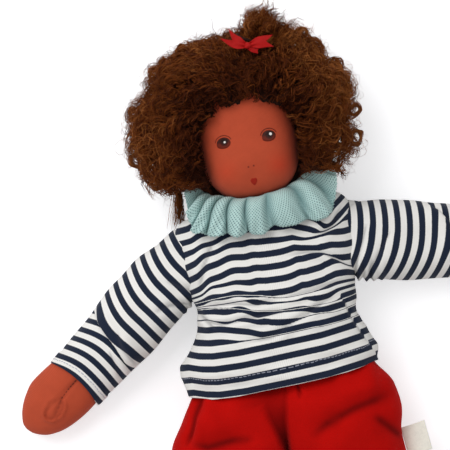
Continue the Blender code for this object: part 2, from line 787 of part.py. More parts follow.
def build_arm(side_name, sign, swing, spread):
    """Arm with hand, sleeve and the ring of thread at its root."""
    rest = math.radians(ARM_REST_DEG[side_name])
    pivot = spread.matrix_world.translation
    along = Vector((sign * math.sin(rest), -math.cos(rest), 0))
    across = Vector((sign * math.cos(rest), math.sin(rest), 0))

    def ring(place, half_width, half_depth, drop_share, sway=0.0):
        centre = pivot + along * place + across * sway - UP * (ARM_DROP * drop_share)
        return on_floor(oval(centre, across, UP, half_width, half_depth, ARM_SIDES, 2.15))

    def ball(radius, mouth_deg):
        rings = []
        for step in range(BALL_STEPS + 1):
            angle = math.radians(mouth_deg + (90 - mouth_deg) * step / BALL_STEPS)
            centre = pivot + along * (radius * math.cos(angle))
            size = radius * math.sin(angle)
            rings.append(oval(centre, across, UP, size, size, ARM_SIDES))
        return rings

    sleeve_rings = ball(SLEEVE_BALL, SLEEVE_MOUTH_DEG)
    for share, width, depth in SLEEVE_SHARES:
        place = SLEEVE_LENGTH * share
        sleeve_rings.append(
            ring(place, SLEEVE_HALF_WIDTH * width, SLEEVE_HALF_DEPTH * depth, place / ARM_LENGTH)
        )
    sleeve = piece(f"sleeve_{side_name}", loft(sleeve_rings), SHIRT_WHITE, spread)
    thicken(sleeve, CLOTH)

    def limb(inset, mouth_deg):
        rings = ball(ARM_BALL - inset, mouth_deg)
        for share, width, depth, sway in ARM_SHARES:
            half_width = ARM_HALF_WIDTH * width - inset
            half_depth = ARM_HALF_DEPTH * depth - inset
            if min(half_width, half_depth) > JERSEY / 2:
                place = ARM_LENGTH * share - inset * (share > 0.95)
                rings.append(ring(place, half_width, half_depth, place / ARM_LENGTH, HAND_BEND * sway))
        return rings

    skin = piece(f"arm_skin_{side_name}", loft(limb(0.0, ARM_MOUTH_DEG), close_end=True), SKIN, spread)
    thicken(skin, JERSEY)
    wool = limb(JERSEY + GAP, ARM_MOUTH_DEG)
    piece(f"arm_wool_{side_name}", loft(wool, True, True), WOOL, spread)

    root = math.radians(SHOULDER_THREAD_DEG)
    distance = SLEEVE_BALL + GAP + SHOULDER_THREAD
    centre = pivot - SIDE * (sign * distance * math.cos(root))
    ring_bm = torus(centre, SIDE, distance * math.sin(root), SHOULDER_THREAD, 18, 5)
    piece(f"shoulder_thread_{side_name}", ring_bm, THREAD, swing)


# Legs


def build_leg(side_name, sign, hip):
    """Leg with foot, and its trouser leg."""
    splay = math.radians(LEG_SPLAY_DEG[side_name])
    pivot = hip.matrix_world.translation
    foot_out = Vector((sign * math.sin(splay), -math.cos(splay), 0))

    def ring(place, half_width, half_depth, drop, sides=LEG_SIDES, fullness=2.3):
        lean = SIDE * (foot_out.x * max(place, 0.0))
        centre = pivot - CROWN * place + lean - UP * drop
        return on_floor(oval(centre, SIDE, UP, half_width, half_depth, sides, fullness))

    def roll(radius, half_width, mouth_deg):
        rings = []
        for step in range(BALL_STEPS + 1):
            angle = math.radians(mouth_deg + (90 - mouth_deg) * step / BALL_STEPS)
            rings.append(ring(-radius * math.cos(angle), half_width, radius * math.sin(angle), 0.0))
        return rings

    cloth = roll(TROUSER_RADIUS, TROUSER_HALF_WIDTH, TROUSER_MOUTH_DEG)
    for share, width, depth in TROUSER_SHARES:
        drop = LEG_DROP * share
        cloth.append(ring(TROUSER_LENGTH * share, TROUSER_HALF_WIDTH * width, TROUSER_RADIUS * depth, drop))
    trouser = piece(f"trouser_leg_{side_name}", loft(cloth), RED, hip)
    thicken(trouser, CLOTH)

    def limb(inset):
        rings = roll(LEG_RADIUS - inset, LEG_HALF_WIDTH - inset, TROUSER_MOUTH_DEG)
        for share, width, depth in LEG_SHARES:
            size = (LEG_HALF_WIDTH * width - inset, LEG_RADIUS * depth - inset)
            rings.append(ring(LEG_LENGTH * share, size[0], size[1], LEG_DROP * share))
        return rings + foot_rings(inset)

    def foot_rings(inset):
        heel = pivot - CROWN * LEG_LENGTH + SIDE * (foot_out.x * LEG_LENGTH)
        bend = heel + UP * (FOOT_BEND + FOOT_HALF_THICK - pivot.z)
        rings = []
        for step in range(4):
            angle = math.radians(90 * step / 3)
            out = -CROWN * math.sin(angle) - UP * math.cos(angle)
            centre = bend + out * FOOT_BEND
            width, thick = FOOT_HALF_WIDTH - inset, FOOT_HALF_THICK - inset
            rings.append(oval(centre, SIDE, -out, width, thick, LEG_SIDES, 2.2))
        toe_start = bend - CROWN * FOOT_BEND
        for share, width, depth in FOOT_SHARES:
            size = (FOOT_HALF_WIDTH * width - inset, FOOT_HALF_THICK * depth - inset)
            if min(size) > JERSEY / 2:
                centre = toe_start + UP * (FOOT_LENGTH * share - inset * share**3)
                rings.append(oval(centre, SIDE, CROWN, size[0], size[1], LEG_SIDES, 2.2))
        return rings

    skin = piece(f"leg_skin_{side_name}", loft(limb(0.0), close_end=True), SKIN, hip)
    thicken(skin, JERSEY)
    piece(f"leg_wool_{side_name}", loft(limb(JERSEY + GAP), True, True), WOOL, hip)


def build_label(carrier, splay_deg):
    """The blank woven label that sticks out of the side seam of the right trouser leg."""
    pivot = carrier.matrix_world.translation
    leaning = math.sin(math.radians(splay_deg))
    side = TROUSER_HALF_WIDTH * TROUSER_SHARES[0][1] + GAP
    corners = []
    for along, out in ((0, 0), (1, 0), (1, 1), (0, 1)):
        place = LABEL_ALONG + LABEL_HEIGHT * along
        drop = LEG_DROP * place / TROUSER_LENGTH
        corner = pivot - CROWN * place + SIDE * (side + leaning * place + LABEL_WIDTH * out) - UP * drop
        corners.append(corner)
    slab = loft([corners, [corner + UP * LABEL_THICKNESS for corner in corners]], True, True)
    piece("side_label", slab, LABEL_CREAM, carrier)


# Main


def main():
    """Build the doll from the inside out."""
    clear_scene()
    build_trunk()
    nod = joint_empty("head_nod_axis", Vector((0, NECK_PIVOT, NECK_HEIGHT)))
    turn = joint_empty("head_turn_axis", Vector((0, NECK_PIVOT, NECK_HEIGHT)), nod)
    piece("neck_column", neck_column(), SKIN, nod)
    piece("neck_tie", thread_tube(neck_tie_points(), TIE_THREAD), THREAD, nod)
    build_ruffle(nod)
    build_head(turn)
    for side_name, sign in (("left", -1), ("right", 1)):
        shoulder = Vector((sign * SHOULDER_OUT, SHOULDER_UP_BODY, SHOULDER_HEIGHT))
        swing = joint_empty(f"shoulder_swing_axis_{side_name}", shoulder)
        spread = joint_empty(f"arm_spread_axis_{side_name}", shoulder, swing)
        build_arm(side_name, sign, swing, spread)
        middle = trunk_shift(HIP_SEAM)
        offset = TROUSER_HALF_WIDTH + HIP_CENTRE_GAP / 2
        hip = joint_empty(f"hip_axis_{side_name}", Vector((middle + sign * offset, HIP_SEAM, HIP_HEIGHT)))
        build_leg(side_name, sign, hip)
    build_label(hip, LEG_SPLAY_DEG["right"])


main()
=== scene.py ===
"""A soft cloth doll lying on its back, dressed over its fixed frame.

Stuffed jersey head and limbs, a curly mohair wig with a tied tuft and a ribbon, a net collar, a striped
shirt and velour trousers. Lengths are in metres: +Z up through the face, +Y towards the crown.
"""

import logging
import math
from dataclasses import dataclass, field
from enum import Enum
from typing import Callable

import bmesh
import bpy
import numpy as np
from mathutils import Matrix, Vector


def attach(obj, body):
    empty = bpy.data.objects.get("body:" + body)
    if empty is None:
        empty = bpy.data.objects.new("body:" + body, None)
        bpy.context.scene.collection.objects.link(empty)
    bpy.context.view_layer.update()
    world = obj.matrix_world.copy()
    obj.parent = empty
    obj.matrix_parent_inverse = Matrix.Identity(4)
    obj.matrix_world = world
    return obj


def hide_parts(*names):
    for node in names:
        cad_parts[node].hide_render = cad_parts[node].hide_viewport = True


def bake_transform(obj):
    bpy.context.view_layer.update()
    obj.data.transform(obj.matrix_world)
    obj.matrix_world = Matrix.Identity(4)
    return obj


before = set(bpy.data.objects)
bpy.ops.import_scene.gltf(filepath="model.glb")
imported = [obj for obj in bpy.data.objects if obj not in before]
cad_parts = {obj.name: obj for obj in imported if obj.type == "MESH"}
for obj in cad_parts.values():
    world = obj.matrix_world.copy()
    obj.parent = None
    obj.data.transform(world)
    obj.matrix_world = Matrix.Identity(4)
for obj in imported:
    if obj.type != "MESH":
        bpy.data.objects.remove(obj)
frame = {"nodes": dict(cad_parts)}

LOG = logging.getLogger("doll")
Array = np.ndarray
Form = Callable[[Array, Array], Array]
Colour = tuple[float, float, float, float]
WELD = 5e-6


class Side(Enum):
    """The doll's two sides as they show in the picture, by the sign of X."""

    LEFT = -1
    RIGHT = 1

    @property
    def word(self) -> str:
        """The side's name as the frame's nodes write it."""
        return self.name.lower()


# Numbers on a surface


def dyed(red: float, green: float, blue: float) -> Colour:
    """Turn a colour written on the 0 to 255 display scale into a linear one.

    Args:
        red: display red.
        green: display green.
        blue: display blue.

    Returns:
        The linear colour with full alpha.
    """
    linear = []
    for part in (red, green, blue):
        value = part / 255
        linear.append(value / 12.92 if value <= 0.04045 else ((value + 0.055) / 1.055) ** 2.4)
    return (linear[0], linear[1], linear[2], 1.0)


def ease(value: Array, start: float, end: float) -> Array:
    """Rise smoothly from 0 at the start to 1 at the end.

    Args:
        value: where to read the curve.
        start: where it leaves 0.
        end: where it reaches 1.

    Returns:
        The eased shares.
    """
    part = np.clip((value - start) / (end - start), 0.0, 1.0)
    return part * part * (3 - 2 * part)


def bell(distance: Array, width: float) -> Array:
    """A soft hump of height 1 about zero."""
    return np.exp(-((distance / width) ** 2))


def read_rows(rows: tuple, at: Array) -> Array:
    """Read a table along smooth curves through its rows.

    Args:
        rows: rows of a place and the values there, places rising.
        at: the places to read.

    Returns:
        One column of values for each of the table's, per place.
    """
    table = np.array(rows, float)
    places, values = table[:, 0], table[:, 1:]
    last = len(places) - 1
    before = np.maximum(np.arange(last + 1) - 1, 0)
    after = np.minimum(np.arange(last + 1) + 1, last)
    slope = (values[after] - values[before]) / (places[after] - places[before])[:, None]
    index = np.clip(np.searchsorted(places, at, side="right") - 1, 0, last - 1)
    span = (places[index + 1] - places[index])[:, None]
    part = np.clip((at - places[index])[:, None] / span, 0.0, 1.0)
    square, cube = part**2, part**3
    return (
        (2 * cube - 3 * square + 1) * values[index]
        + (cube - 2 * square + part) * span * slope[index]
        + (3 * square - 2 * cube) * values[index + 1]
        + (cube - square) * span * slope[index + 1]
    )


def rounded(angle: Array, fullness: Array | float) -> tuple[Array, Array]:
    """The unit superellipse at an angle.

    Args:
        angle: the angle round it.
        fullness: 2 for an ellipse, more for a squarer outline.

    Returns:
        How far across and how far up, each from -1 to 1.
    """
    cosine, sine = np.cos(angle), np.sin(angle)
    across = np.sign(cosine) * np.abs(cosine) ** (2 / fullness)
    above = np.sign(sine) * np.abs(sine) ** (2 / fullness)
    return across, above


def ripple(points: Array, length: float, seed: int, waves: int = 7) -> Array:
    """Soft uneven swells over space, from -1 to 1.

    Args:
        points: where to read them.
        length: the swells' length.
        seed: which set of swells.
        waves: how many are laid over each other.

    Returns:
        The swell at each point.
    """
    draw = np.random.default_rng(seed)
    ways = draw.normal(size=(waves, points.shape[1]))
    ways *= (2 * math.pi / length) * draw.uniform(0.6, 1.5, (waves, 1)) / np.linalg.norm(ways,
                                                                                         axis=1)[:, None]
    starts = draw.uniform(0, 2 * math.pi, waves)
    return np.sin(points @ ways.T + starts).sum(axis=1) / math.sqrt(waves * 2.0)


def line_distance(points: Array, line: tuple) -> tuple[Array, Array, Array]:
    """How far flat points lie from a line of short straights.

    Args:
        points: flat points.
        line: the line's corners, in order.

    Returns:
        The distance, positive on the left of the line's way; the share of the way; the flat way to the left.
    """
    corners = np.array(line, float)
    steps = np.linalg.norm(np.diff(corners, axis=0), axis=1)
    reached = np.concatenate([[0.0], np.cumsum(steps)]) / steps.sum()
    nearest = np.full(len(points), np.inf)
    signed = np.zeros(len(points))
    share = np.zeros(len(points))
    left = np.zeros((len(points), 2))
    for number, (start, end) in enumerate(zip(corners[:-1], corners[1:])):
        way = end - start
        held = np.clip((points - start) @ way / (way @ way), 0.0, 1.0)
        gap = points - (start + held[:, None] * way)
        distance = np.linalg.norm(gap, axis=1)
        closer = distance < nearest
        turn = way[0] * gap[:, 1] - way[1] * gap[:, 0]
        signed[closer] = (np.sign(turn) * distance)[closer]
        share[closer] = (reached[number] + held * (reached[number + 1] - reached[number]))[closer]
        left[closer] = np.array([-way[1], way[0]]) / math.hypot(*way)
        nearest[closer] = distance[closer]
    return signed, share, left


@dataclass(frozen=True)
class Fold:
    """A crease in cloth: a valley along a line, a rise beside it, and its left side lapped over."""

    line: tuple
    valley: float = 0.0012
    width: float = 0.0022
    rise: float = 0.0008
    lap: float = 0.0
    slide: float = 0.0

    def move(self, flat: Array) -> tuple[Array, Array, Array]:
        """How the crease moves the cloth.

        Args:
            flat: the cloth's points, flat.

        Returns:
            The lift, the flat slide, and how deep in the crease's shade each point lies.
        """
        distance, share, left = line_distance(flat, self.line)
        held = np.clip(share * (1 - share) * 6.0, 0.0, 1.0)
        beside = bell(distance - 2.3 * self.width, 1.7 * self.width) + bell(
            distance + 2.3 * self.width, 1.7 * self.width
        )
        over = 0.5 * (1 + np.tanh(distance / (0.22 * self.width)))
        lapped = self.lap * (over - 0.45) * bell(distance, 3.2 * self.width)
        lift = self.rise * beside - self.valley * bell(distance, self.width) + lapped
        slide = -left * (self.slide * over * bell(distance, 2.6 * self.width) * held)[:, None]
        return held * lift, slide, held * bell(distance + 0.3 * self.width, 0.55 * self.width)


def folded(folds: tuple[Fold, ...], flat: Array) -> tuple[Array, Array, Array]:
    """What several creases do together.

    Args:
        folds: the creases.
        flat: the cloth's points, flat.

    Returns:
        The lift, the flat slide and the shade.
    """
    moves = [fold.move(flat) for fold in folds]
    zero = np.zeros(len(flat))
    return (
        sum((move[0] for move in moves), zero),
        sum((move[1] for move in moves), np.zeros((len(flat), 2))),
        np.clip(sum((move[2] for move in moves), zero), 0.0, 1.0),
    )


# Mesh helpers


def read_points(mesh: bpy.types.Mesh) -> Array:
    """The mesh's vertices as rows."""
    points = np.empty(len(mesh.vertices) * 3, np.float32)
    mesh.vertices.foreach_get("co", points)
    return points.reshape(-1, 3).astype(float)


def new_object(name: str, bm: bmesh.types.BMesh) -> bpy.types.Object:
    """Turn a bmesh into an object of the scene.

    Args:
        name: the piece's name.
        bm: its shape, which is freed.

    Returns:
        The object, shaded smooth.
    """
    mesh = bpy.data.meshes.new(name)
    bm.to_mesh(mesh)
    bm.free()
    mesh.shade_smooth()
    obj = bpy.data.objects.new(name, mesh)
    bpy.context.scene.collection.objects.link(obj)
    return obj


def lay_grid(
    name: str, columns: int, rows: int, form: Form, measure: Form, shade: Form | None = None
) -> bpy.types.Object:
    """Lay a grid of faces over a form and weld what meets.

    Args:
        name: the piece's name.
        columns: faces across, the way that u runs.
        rows: faces along, the way that v runs.
        form: from u and v, each 0 to 1, to points.
        measure: from u and v to the cloth's own measure in metres, kept as its UV map.
        shade: from u and v to how deep in a crease the cloth lies, kept as an attribute that the materials
            darken by as painted shade.

    Returns:
        The object.
    """
    bm = bmesh.new()
    bmesh.ops.create_grid(bm, x_segments=columns, y_segments=rows, size=1.0)
    obj = new_object(name, bm)
    mesh = obj.data
    at = read_points(mesh)
    u = (at[:, 0] - at[:, 0].min()) / np.ptp(at[:, 0])
    v = (at[:, 1] - at[:, 1].min()) / np.ptp(at[:, 1])
    corners = np.empty(len(mesh.loops), np.int32)
    mesh.loops.foreach_get("vertex_index", corners)
    layer = mesh.uv_layers.new(name="cloth")
    layer.data.foreach_set("uv", measure(u, v)[corners].astype(np.float32).ravel())
    if shade:
        mesh.attributes.new("shade", "FLOAT", "POINT").data.foreach_set("value",
                                                                        shade(u, v).astype(np.float32))
    mesh.vertices.foreach_set("co", form(u, v).astype(np.float32).ravel())
    bm = bmesh.new()
    bm.from_mesh(mesh)
    bmesh.ops.remove_doubles(bm, verts=bm.verts, dist=WELD)
    bmesh.ops.recalc_face_normals(bm, faces=bm.faces)
    bm.to_mesh(mesh)
    bm.free()
    mesh.shade_smooth()
    return obj


def thicken(obj: bpy.types.Object, thickness: float, offset: float = -1.0) -> bpy.types.Object:
    """Give a sheet its thickness.

    Args:
        obj: the sheet.
        thickness: how thick it is.
        offset: -1 for inwards, 0 for half to each side.

    Returns:
        The same object.
    """
    wall = obj.modifiers.new("wall", "SOLIDIFY")
    wall.thickness = thickness
    wall.offset = offset
    wall.use_rim = True
    return obj


def thread_along(name: str, lines: list[Array], radius: float) -> bpy.types.Object:
    """Sew closed threads along lines and make them one mesh.

    Args:
        name: the piece's name.
        lines: the points of each thread.
        radius: the threads' radius.

    Returns:
        The object.
    """
    curve = bpy.data.curves.new(name, "CURVE")
    curve.dimensions = "3D"
    curve.bevel_depth = radius
    curve.bevel_resolution = 1
    curve.use_fill_caps = True
    for points in lines:
        spline = curve.splines.new("POLY")
        spline.points.add(len(points) - 1)
        spline.points.foreach_set("co", np.c_[points, np.ones(len(points))].astype(np.float32).ravel())
    return made_mesh(name, curve)


def made_mesh(name: str, curve: bpy.types.Curve) -> bpy.types.Object:
    """Turn a curve into a mesh object.

    Args:
        name: the piece's name.
        curve: the curve, which is removed.

    Returns:
        The object, shaded smooth.
    """
    guide = bpy.data.objects.new(name + "_guide", curve)
    bpy.context.scene.collection.objects.link(guide)
    graph = bpy.context.evaluated_depsgraph_get()
    mesh = bpy.data.meshes.new_from_object(guide.evaluated_get(graph))
    bpy.data.objects.remove(guide)
    bpy.data.curves.remove(curve)
    mesh.name = name
    mesh.shade_smooth()
    obj = bpy.data.objects.new(name, mesh)
    bpy.context.scene.collection.objects.link(obj)
    return obj


def dress(
    obj: bpy.types.Object,
    finish: bpy.types.Material,
    stands_for: tuple[str, ...] = (),
    body: str | None = None,
) -> bpy.types.Object:
    """Give a piece its finish, the nodes that it stands for and the body that it rides on.

    Args:
        obj: the piece.
        finish: its material.
        stands_for: the frame's nodes that it replaces.
        body: the body that carries it, or None to leave it without one.

    Returns:
        The same object.
    """
    obj.data.materials.append(finish)
    if stands_for:
        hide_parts(*stands_for)
    if body:
        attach(obj, body)
    LOG.info("%s: %d faces", obj.name, len(obj.data.polygons))
    return obj


# Finishes


class Weaver:
    """Adds nodes to a material or a node group and links them."""

    def __init__(self, tree: bpy.types.NodeTree) -> None:
        """Start on a tree."""
        self.tree = tree

    def add(self, kind: str, inputs: dict | None = None, **settings: object) -> bpy.types.Node:
        """Add a node.

        Args:
            kind: the node's type.
            inputs: values or sockets for its inputs, by name or place.
            settings: the node's own settings.

        Returns:
            The node.
        """
        node = self.tree.nodes.new(kind)
        for key, value in settings.items():
            setattr(node, key, value)
        for key, value in (inputs or {}).items():
            if isinstance(value, bpy.types.NodeSocket):
                self.tree.links.new(value, node.inputs[key])
            else:
                node.inputs[key].default_value = value
        return node

    def sums(self, operation: str, *values: object, clamp: bool = False) -> bpy.types.NodeSocket:
        """A Math node's result.

        Args:
            operation: what it does.
            values: its numbers or sockets, in order.
            clamp: whether it stays from 0 to 1.

        Returns:
            The result's socket.
        """
        node = self.add("ShaderNodeMath", dict(enumerate(values)), operation=operation, use_clamp=clamp)
        return node.outputs[0]

    def mix(self, factor: object, first: object, second: object, blend: str = "MIX") -> bpy.types.NodeSocket:
        """Two colours mixed.

        Args:
            factor: the second one's share.
            first: the colour at 0.
            second: the colour at 1.
            blend: how they mix.

        Returns:
            The colour's socket.
        """
        node = self.add(
            "ShaderNodeMix", {0: factor, 6: first, 7: second}, data_type="RGBA", blend_type=blend,
            clamp_factor=True
        )
        return node.outputs[2]

    def noise(self, vector: object, scale: float, detail: float = 3.0,
              roughness: float = 0.55) -> bpy.types.NodeSocket:
        """A noise texture's value.

        Args:
            vector: where it is read.
            scale: cells to the metre.
            detail: how many octaves.
            roughness: how strong the fine ones are.

        Returns:
            The value's socket.
        """
        node = self.add(
            "ShaderNodeTexNoise",
            {"Vector": vector, "Scale": scale, "Detail": detail, "Roughness": roughness}
        )
        return node.outputs["Fac"]

    def blot(self, place: object, centre: tuple[float, float], radius: float,
             power: float = 1.0) -> bpy.types.NodeSocket:
        """A soft round spot about a place of the face.

        Args:
            place: the coordinates' socket.
            centre: the spot's X and Y.
            radius: where it has faded out.
            power: how sharply it fades.

        Returns:
            The spot's mask.
        """
        flat = self.add("ShaderNodeVectorMath", {0: place, 1: (1, 1, 0)}, operation="MULTIPLY").outputs[0]
        gap = self.add("ShaderNodeVectorMath", {0: flat, 1: (*centre, 0)},
                       operation="DISTANCE").outputs["Value"]
        near = self.sums("SUBTRACT", 1.0, self.sums("DIVIDE", gap, radius), clamp=True)
        return self.sums("POWER", near, power)


def new_group(name: str, takes: dict[str, tuple[str, object]], gives: dict[str, str]) -> tuple[Weaver, dict,
                                                                                               dict]:
    """Start a shader node group.

    Args:
        name: the group's name.
        takes: its inputs, by name, as socket type and value.
        gives: its outputs, by name, as socket type.

    Returns:
        The weaver, the inputs' sockets inside it, and the outputs' sockets to link.
    """
    tree = bpy.data.node_groups.new(name, "ShaderNodeTree")
    for label, (kind, value) in takes.items():
        socket = tree.interface.new_socket(label, in_out="INPUT", socket_type=kind)
        if value is not None:
            socket.default_value = value
    for label, kind in gives.items():
        tree.interface.new_socket(label, in_out="OUTPUT", socket_type=kind)
    entry = tree.nodes.new("NodeGroupInput")
    leave = tree.nodes.new("NodeGroupOutput")
    return Weaver(tree), {key: entry.outputs[key] for key in takes}, {key: leave.inputs[key] for key in gives}


class Effects:
    """The effects that several finishes share, each built once as a node group."""

    def __init__(self) -> None:
        """Build the groups."""
        self.knit = self.build_knit()
        self.stripes = self.build_stripes()
        self.stitches = self.build_stitches()
        self.mottle = self.build_mottle()

    @staticmethod
    def build_knit() -> bpy.types.NodeTree:
        """Fine knitted loops: ribs along v with loops on them."""
        weaver, takes, gives = new_group(
            "knitted loops",
            {"Vector": ("NodeSocketVector", None), "Pitch": ("NodeSocketFloat", 0.0006)},
            {"Height": "NodeSocketFloat", "Shade": "NodeSocketFloat"},
        )
        split = weaver.add("ShaderNodeSeparateXYZ", {0: takes["Vector"]})
        turn = weaver.sums("DIVIDE", 2 * math.pi, takes["Pitch"])
        rib = weaver.sums("MULTIPLY", split.outputs["X"], turn)
        wave = weaver.sums("COSINE", rib)
        loop = weaver.sums("SINE",
                           weaver.sums("ADD", weaver.sums("MULTIPLY", split.outputs["Y"], turn), wave))
        height = weaver.sums("ADD", weaver.sums("MULTIPLY", wave, 0.35), weaver.sums("MULTIPLY", loop, 0.15))
        height = weaver.sums("ADD", height, 0.5)
        weaver.tree.links.new(height, gives["Height"])
        weaver.tree.links.new(weaver.sums("MULTIPLY_ADD", height, 0.16, 0.92), gives["Shade"])
        return weaver.tree

    @staticmethod
    def build_stripes() -> bpy.types.NodeTree:
        """Even stripes across v, with their edges a little uneven from the loops."""
        weaver, takes, gives = new_group(
            "even stripes",
            {"Vector": ("NodeSocketVector", None), "Repeat": ("NodeSocketFloat", 0.008)},
            {"Mask": "NodeSocketFloat"},
        )
        split = weaver.add("ShaderNodeSeparateXYZ", {0: takes["Vector"]})
        fray = weaver.sums("MULTIPLY_ADD", weaver.noise(takes["Vector"], 2600.0, 2.0), 0.0005, -0.00025)
        place = weaver.sums("DIVIDE", weaver.sums("ADD", split.outputs["Y"], fray), takes["Repeat"])
        wave = weaver.sums("COSINE", weaver.sums("MULTIPLY", place, 2 * math.pi))
        mask = weaver.sums("MULTIPLY_ADD", wave, 5.0, 0.5, clamp=True)
        weaver.tree.links.new(mask, gives["Mask"])
        return weaver.tree

    @staticmethod
    def build_stitches() -> bpy.types.NodeTree:
        """A row of short stitches at one place of v."""
        weaver, takes, gives = new_group(
            "row of stitches",
            {
                "Vector": ("NodeSocketVector", None),
                "Row": ("NodeSocketFloat", 0.01),
                "Thread": ("NodeSocketFloat", 0.0004),
                "Step": ("NodeSocketFloat", 0.0022),
            },
            {"Mask": "NodeSocketFloat"},
        )
        split = weaver.add("ShaderNodeSeparateXYZ", {0: takes["Vector"]})
        stray = weaver.sums("MULTIPLY_ADD", weaver.noise(takes["Vector"], 160.0, 2.0), 0.0022, -0.0011)
        place = weaver.sums("ADD", split.outputs["Y"], stray)
        off = weaver.sums("ABSOLUTE", weaver.sums("SUBTRACT", place, takes["Row"]))
        on_row = weaver.sums("SUBTRACT", 1.0, weaver.sums("DIVIDE", off, takes["Thread"]), clamp=True)
        dash = weaver.sums("SINE",
                           weaver.sums("DIVIDE", weaver.sums("MULTIPLY", split.outputs["X"], 2 * math.pi),
                                       takes["Step"]))
        shown = weaver.sums("MULTIPLY_ADD", dash, 3.0, 2.4, clamp=True)
        mask = weaver.sums("MULTIPLY", weaver.sums("MULTIPLY", on_row, 2.0, clamp=True), shown)
        weaver.tree.links.new(mask, gives["Mask"])
        return weaver.tree

    @staticmethod
    def build_mottle() -> bpy.types.NodeTree:
        """Uneven dye and wear: a colour a little lighter and darker in soft patches."""
        weaver, takes, gives = new_group(
            "uneven dye",
            {
                "Vector": ("NodeSocketVector", None),
                "Colour": ("NodeSocketColor", (0.5, 0.5, 0.5, 1)),
                "Scale": ("NodeSocketFloat", 120.0),
                "Amount": ("NodeSocketFloat", 0.15),
            },
            {"Colour": "NodeSocketColor", "Value": "NodeSocketFloat"},
        )
        node = weaver.add(
            "ShaderNodeTexNoise",
            {"Vector": takes["Vector"], "Scale": takes["Scale"], "Detail": 4.0, "Roughness": 0.6}
        )
        swing = weaver.sums("MULTIPLY", weaver.sums("SUBTRACT", node.outputs["Fac"], 0.5), takes["Amount"])
        value = weaver.sums("MULTIPLY_ADD", swing, 2.0, 1.0)
        colour = weaver.add(
            "ShaderNodeVectorMath", {0: takes["Colour"], 3: value}, operation="SCALE"
        ).outputs[0]
        weaver.tree.links.new(colour, gives["Colour"])
        weaver.tree.links.new(node.outputs["Fac"], gives["Value"])
        return weaver.tree


class Paint(Weaver):
    """A material in the making: its Principled shader and where its patterns are read."""

    def __init__(self, name: str, effects: Effects, roughness: float, sheen: float = 0.0) -> None:
        """Start a material.

        Args:
            name: its name.
            effects: the shared groups.
            roughness: the shader's roughness.
            sheen: the shader's sheen, for a nap.
        """
        self.material = bpy.data.materials.new(name)
        self.material.use_nodes = True
        super().__init__(self.material.node_tree)
        self.effects = effects
        self.shader = self.tree.nodes["Principled BSDF"]
        self.shader.inputs["Roughness"].default_value = roughness
        self.shader.inputs["Specular IOR Level"].default_value = 0.25
        self.shader.inputs["Sheen Weight"].default_value = sheen
        self.shader.inputs["Sheen Roughness"].default_value = 0.45
        self.place = self.add("ShaderNodeTexCoord").outputs["Object"]
        self.cloth = self.add("ShaderNodeUVMap", uv_map="cloth").outputs["UV"]
        # the shade attribute, which the materials read as painted shade
        self.shade = self.add("ShaderNodeAttribute", attribute_name="shade").outputs["Fac"]

    def placed(self, tree: bpy.types.NodeTree, inputs: dict) -> bpy.types.Node:
        """Place a shared group.

        Args:
            tree: the group.
            inputs: values or sockets for its inputs.

        Returns:
            The group's node.
        """
        node = self.tree.nodes.new("ShaderNodeGroup")
        node.node_tree = tree
        for key, value in inputs.items():
            if isinstance(value, bpy.types.NodeSocket):
                self.tree.links.new(value, node.inputs[key])
            else:
                node.inputs[key].default_value = value
        return node

    def scaled(self, colour: object, value: object) -> bpy.types.NodeSocket:
        """A colour made lighter or darker by a value."""
        return self.add("ShaderNodeVectorMath", {0: colour, 3: value}, operation="SCALE").outputs[0]

    def colour(self, colour: object) -> None:
        """Set the base colour from a value or a socket."""
        if isinstance(colour, bpy.types.NodeSocket):
            self.tree.links.new(colour, self.shader.inputs["Base Color"])
        else:
            self.shader.inputs["Base Color"].default_value = colour

    def bump(self, height: object, distance: float, strength: float = 1.0) -> None:
        """Raise the surface by a height.

        Args:
            height: the height's socket.
            distance: how far a height of 1 rises.
            strength: how strongly it shades.
        """
        node = self.add("ShaderNodeBump", {"Height": height, "Distance": distance, "Strength": strength})
        self.tree.links.new(node.outputs["Normal"], self.shader.inputs["Normal"])


@dataclass(frozen=True)
class SkinJersey:
    """Fine tricot over tight stuffing, dyed brown, with or without the face's blush and nostrils, and
    darkened as painted shade where its piece carries the shade attribute, as along the thumb's seam.
    """

    tone: Colour = dyed(180, 71, 42)
    blush: Colour = dyed(196, 60, 30)
    # also the colour of the painted shade along the thumb's seam
    nostril_and_groove_shade: Colour = dyed(96, 30, 18)
    pitch: float = 0.0007

    def build(self, effects: Effects, name: str, face: bool = False) -> bpy.types.Material:
        """Build the material.

        Args:
            effects: the shared groups.
            name: the material's name.
            face: True adds the blush on the cheeks and the two stitches of the nostrils.

        Returns:
            The material.
        """
        paint = Paint(name, effects, 0.82, 0.06)
        dye = paint.placed(effects.mottle,
                           {"Vector": paint.place, "Colour": self.tone, "Scale": 160.0, "Amount": 0.10})
        colour = dye.outputs["Colour"]
        if face:
            for centre, strength in (((-0.0167, 0.0811), 0.45), ((0.0165, 0.0797), 0.8)):
                spot = paint.blot(paint.place, centre, 0.0115, 1.4)
                colour = paint.mix(paint.sums("MULTIPLY", spot, strength), colour, self.blush)
            for centre in ((-0.0028, 0.0818), (0.0005, 0.0820)):
                spot = paint.blot(paint.place, centre, 0.0007, 0.5)
                colour = paint.mix(spot, colour, self.nostril_and_groove_shade)
        # painted shade: the shade attribute, set along the thumb's seam and beside its edge, darkens the skin
        # towards this brown
        colour = paint.mix(paint.shade, colour, self.nostril_and_groove_shade)
        knit = paint.placed(effects.knit, {"Vector": paint.cloth, "Pitch": self.pitch})
        paint.colour(paint.scaled(colour, knit.outputs["Shade"]))
        height = paint.sums("ADD", knit.outputs["Height"], paint.sums("MULTIPLY", dye.outputs["Value"], 1.5))
        paint.bump(height, 0.00012, 0.7)
        return paint.material


